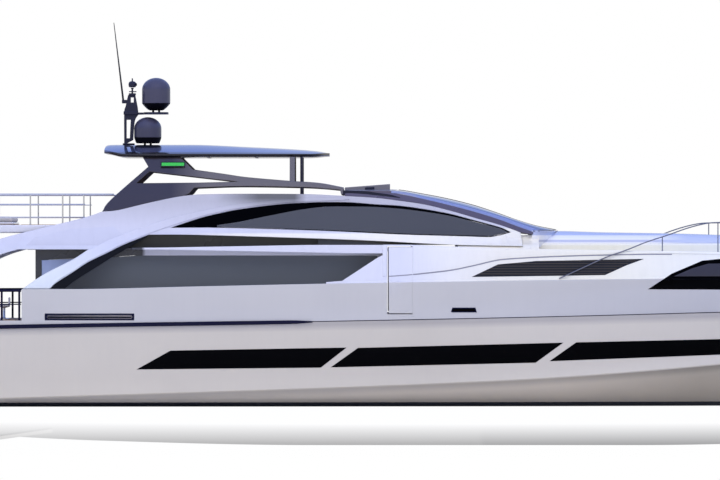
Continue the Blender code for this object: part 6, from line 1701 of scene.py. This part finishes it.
def cushion(name, low, high, finish, fill=0.7):
    """A cushion in a cell: an evenly remeshed rounded box, a little smaller than its cell."""
    low, high = np.array(low, float), np.array(high, float)
    made = block(name, low + (0.03, 0.03, 0.004), high - (0.03, 0.03, 0.03))
    soften(made, 0.06, 4)
    step = made.modifiers.new("even mesh", "REMESH")
    step.mode = "VOXEL"
    step.voxel_size = VOXEL
    made = carved(made, [])
    dress(made, finish, slot="cushion", angle=180)
    cushions.append((made, low * SCALE, high * SCALE, fill))


def upholstered(name, low, high, base_top, counts, finish, node_name):
    """A moulded base with rows of cushions on it."""
    block(name + "_base", (low[0] + 0.02, low[1] + 0.02, low[2]), (high[0] - 0.02, high[1] - 0.02, base_top),
          white_paint, 0.03, replaces=node_name)
    xs, ys = np.linspace(low[0], high[0], counts[0] + 1), np.linspace(low[1], high[1], counts[1] + 1)
    for i in range(counts[0]):
        for j in range(counts[1]):
            cushion("%s_cushion_%d_%d" % (name, i, j), (xs[i] + 0.004, ys[j] + 0.004, base_top + 0.002),
                    (xs[i + 1] - 0.004, ys[j + 1] - 0.004, high[2]), finish)


floor_here, pad_level = DECK_Z + LAY + GAP, float(sheer_z(14.0)) - RECESS + 0.01
upholstered("cockpit_bench", (-17.25, -2.6, floor_here), (-16.35, 2.6, 3.35), 3.12, (1, 4), deck_cloth,
            "cockpit_sofa")
upholstered("flybridge_sunbed", (-16.2, -2.2, FLY_SOLE_Z + LAY), (-12.85, 2.2, 6.32), 6.13, (2, 4),
            deck_cloth, "fly_sunbed")
upholstered("flybridge_sofa", (-8.6, 1.6, FLY_SOLE_Z + LAY), (-5.0, 3.0, 6.48), 6.25, (3, 1), deck_cloth,
            "fly_sofa")
upholstered("sun_pad", (13.8, -0.9, pad_level), (14.9, 0.9, 5.25), 5.06, (1, 2), deck_cloth, "foredeck_pad")
upholstered("saloon_settee", (-10.8, 1.7, DECK_Z + LAY), (-7.0, 2.9, 3.3), 3.08, (3, 1), saloon_cloth,
            "saloon_sofa")
soften(block("table_top", (-15.6, -1.2, 3.56), (-14.4, 1.2, 3.62), teak, replaces="cockpit_table"), 0.02)
leg = [(0, floor_here), (0.3, floor_here), (0.3, 2.92), (0.1, 2.95), (0.08, 2.98), (0.08, 3.5), (0.22, 3.56),
       (0, 3.56)]
gathered("table_leg", [turned(leg, (-15.0, 0), 40)], steel, angle=40)
stool = [(0, floor_here), (0.22, floor_here), (0.22, 2.91), (0.06, 2.94), (0.04, 2.97), (0.04, 3.27),
         (0.16, 3.3), (0, 3.3)]
gathered("stool_post", [turned(stool, (-13.2, -1.9), 32)], steel, angle=40, replaces="cockpit_chair")
seat = [(0, 3.303), (0.17, 3.303), (0.195, 3.325), (0.2, 3.35), (0.19, 3.378), (0.14, 3.393), (0, 3.4)]
seat_pad = gathered("stool_seat", [turned(seat, (-13.2, -1.9), 48)], deck_cloth, angle=60, slot="cushion")
soften(block("stool_back", (-13.055, -2.1, 3.4), (-12.995, -1.7, 3.62), white_paint), 0.025)
for made, low, high, fill in cushions:
    cloth = made.modifiers.new("stuffing", "CLOTH")
    cloth.settings.quality = 4
    cloth.settings.use_pressure = True
    cloth.settings.uniform_pressure_force = 4
    cloth.settings.effector_weights.gravity = 0
for moment in range(1, CLOTH_FRAMES + 1):
    bpy.context.scene.frame_set(moment)
graph = bpy.context.evaluated_depsgraph_get()
for made, low, high, fill in cushions:
    rest, blown = (np.empty(len(made.data.vertices) * 3, np.float32) for _ in range(2))
    made.data.vertices.foreach_get("co", rest)
    made.evaluated_get(graph).data.vertices.foreach_get("co", blown)
    rest, blown = rest.reshape(-1, 3), blown.reshape(-1, 3)
    moved = blown - rest
    length = np.linalg.norm(moved, axis=1)[:, None]
    placed = rest + moved * np.minimum(1, BULGE / np.maximum(length, 1e-9))
    placed = np.clip(placed, low, high)
    made.modifiers.clear()
    made.data.vertices.foreach_set("co", placed.ravel().astype(np.float32))
    made.data.update()
bpy.context.scene.frame_set(1)
for made, low, high, fill in cushions:
    step = made.modifiers.new("smooth cloth", "SUBSURF")
    step.levels = 1
    step.render_levels = 1
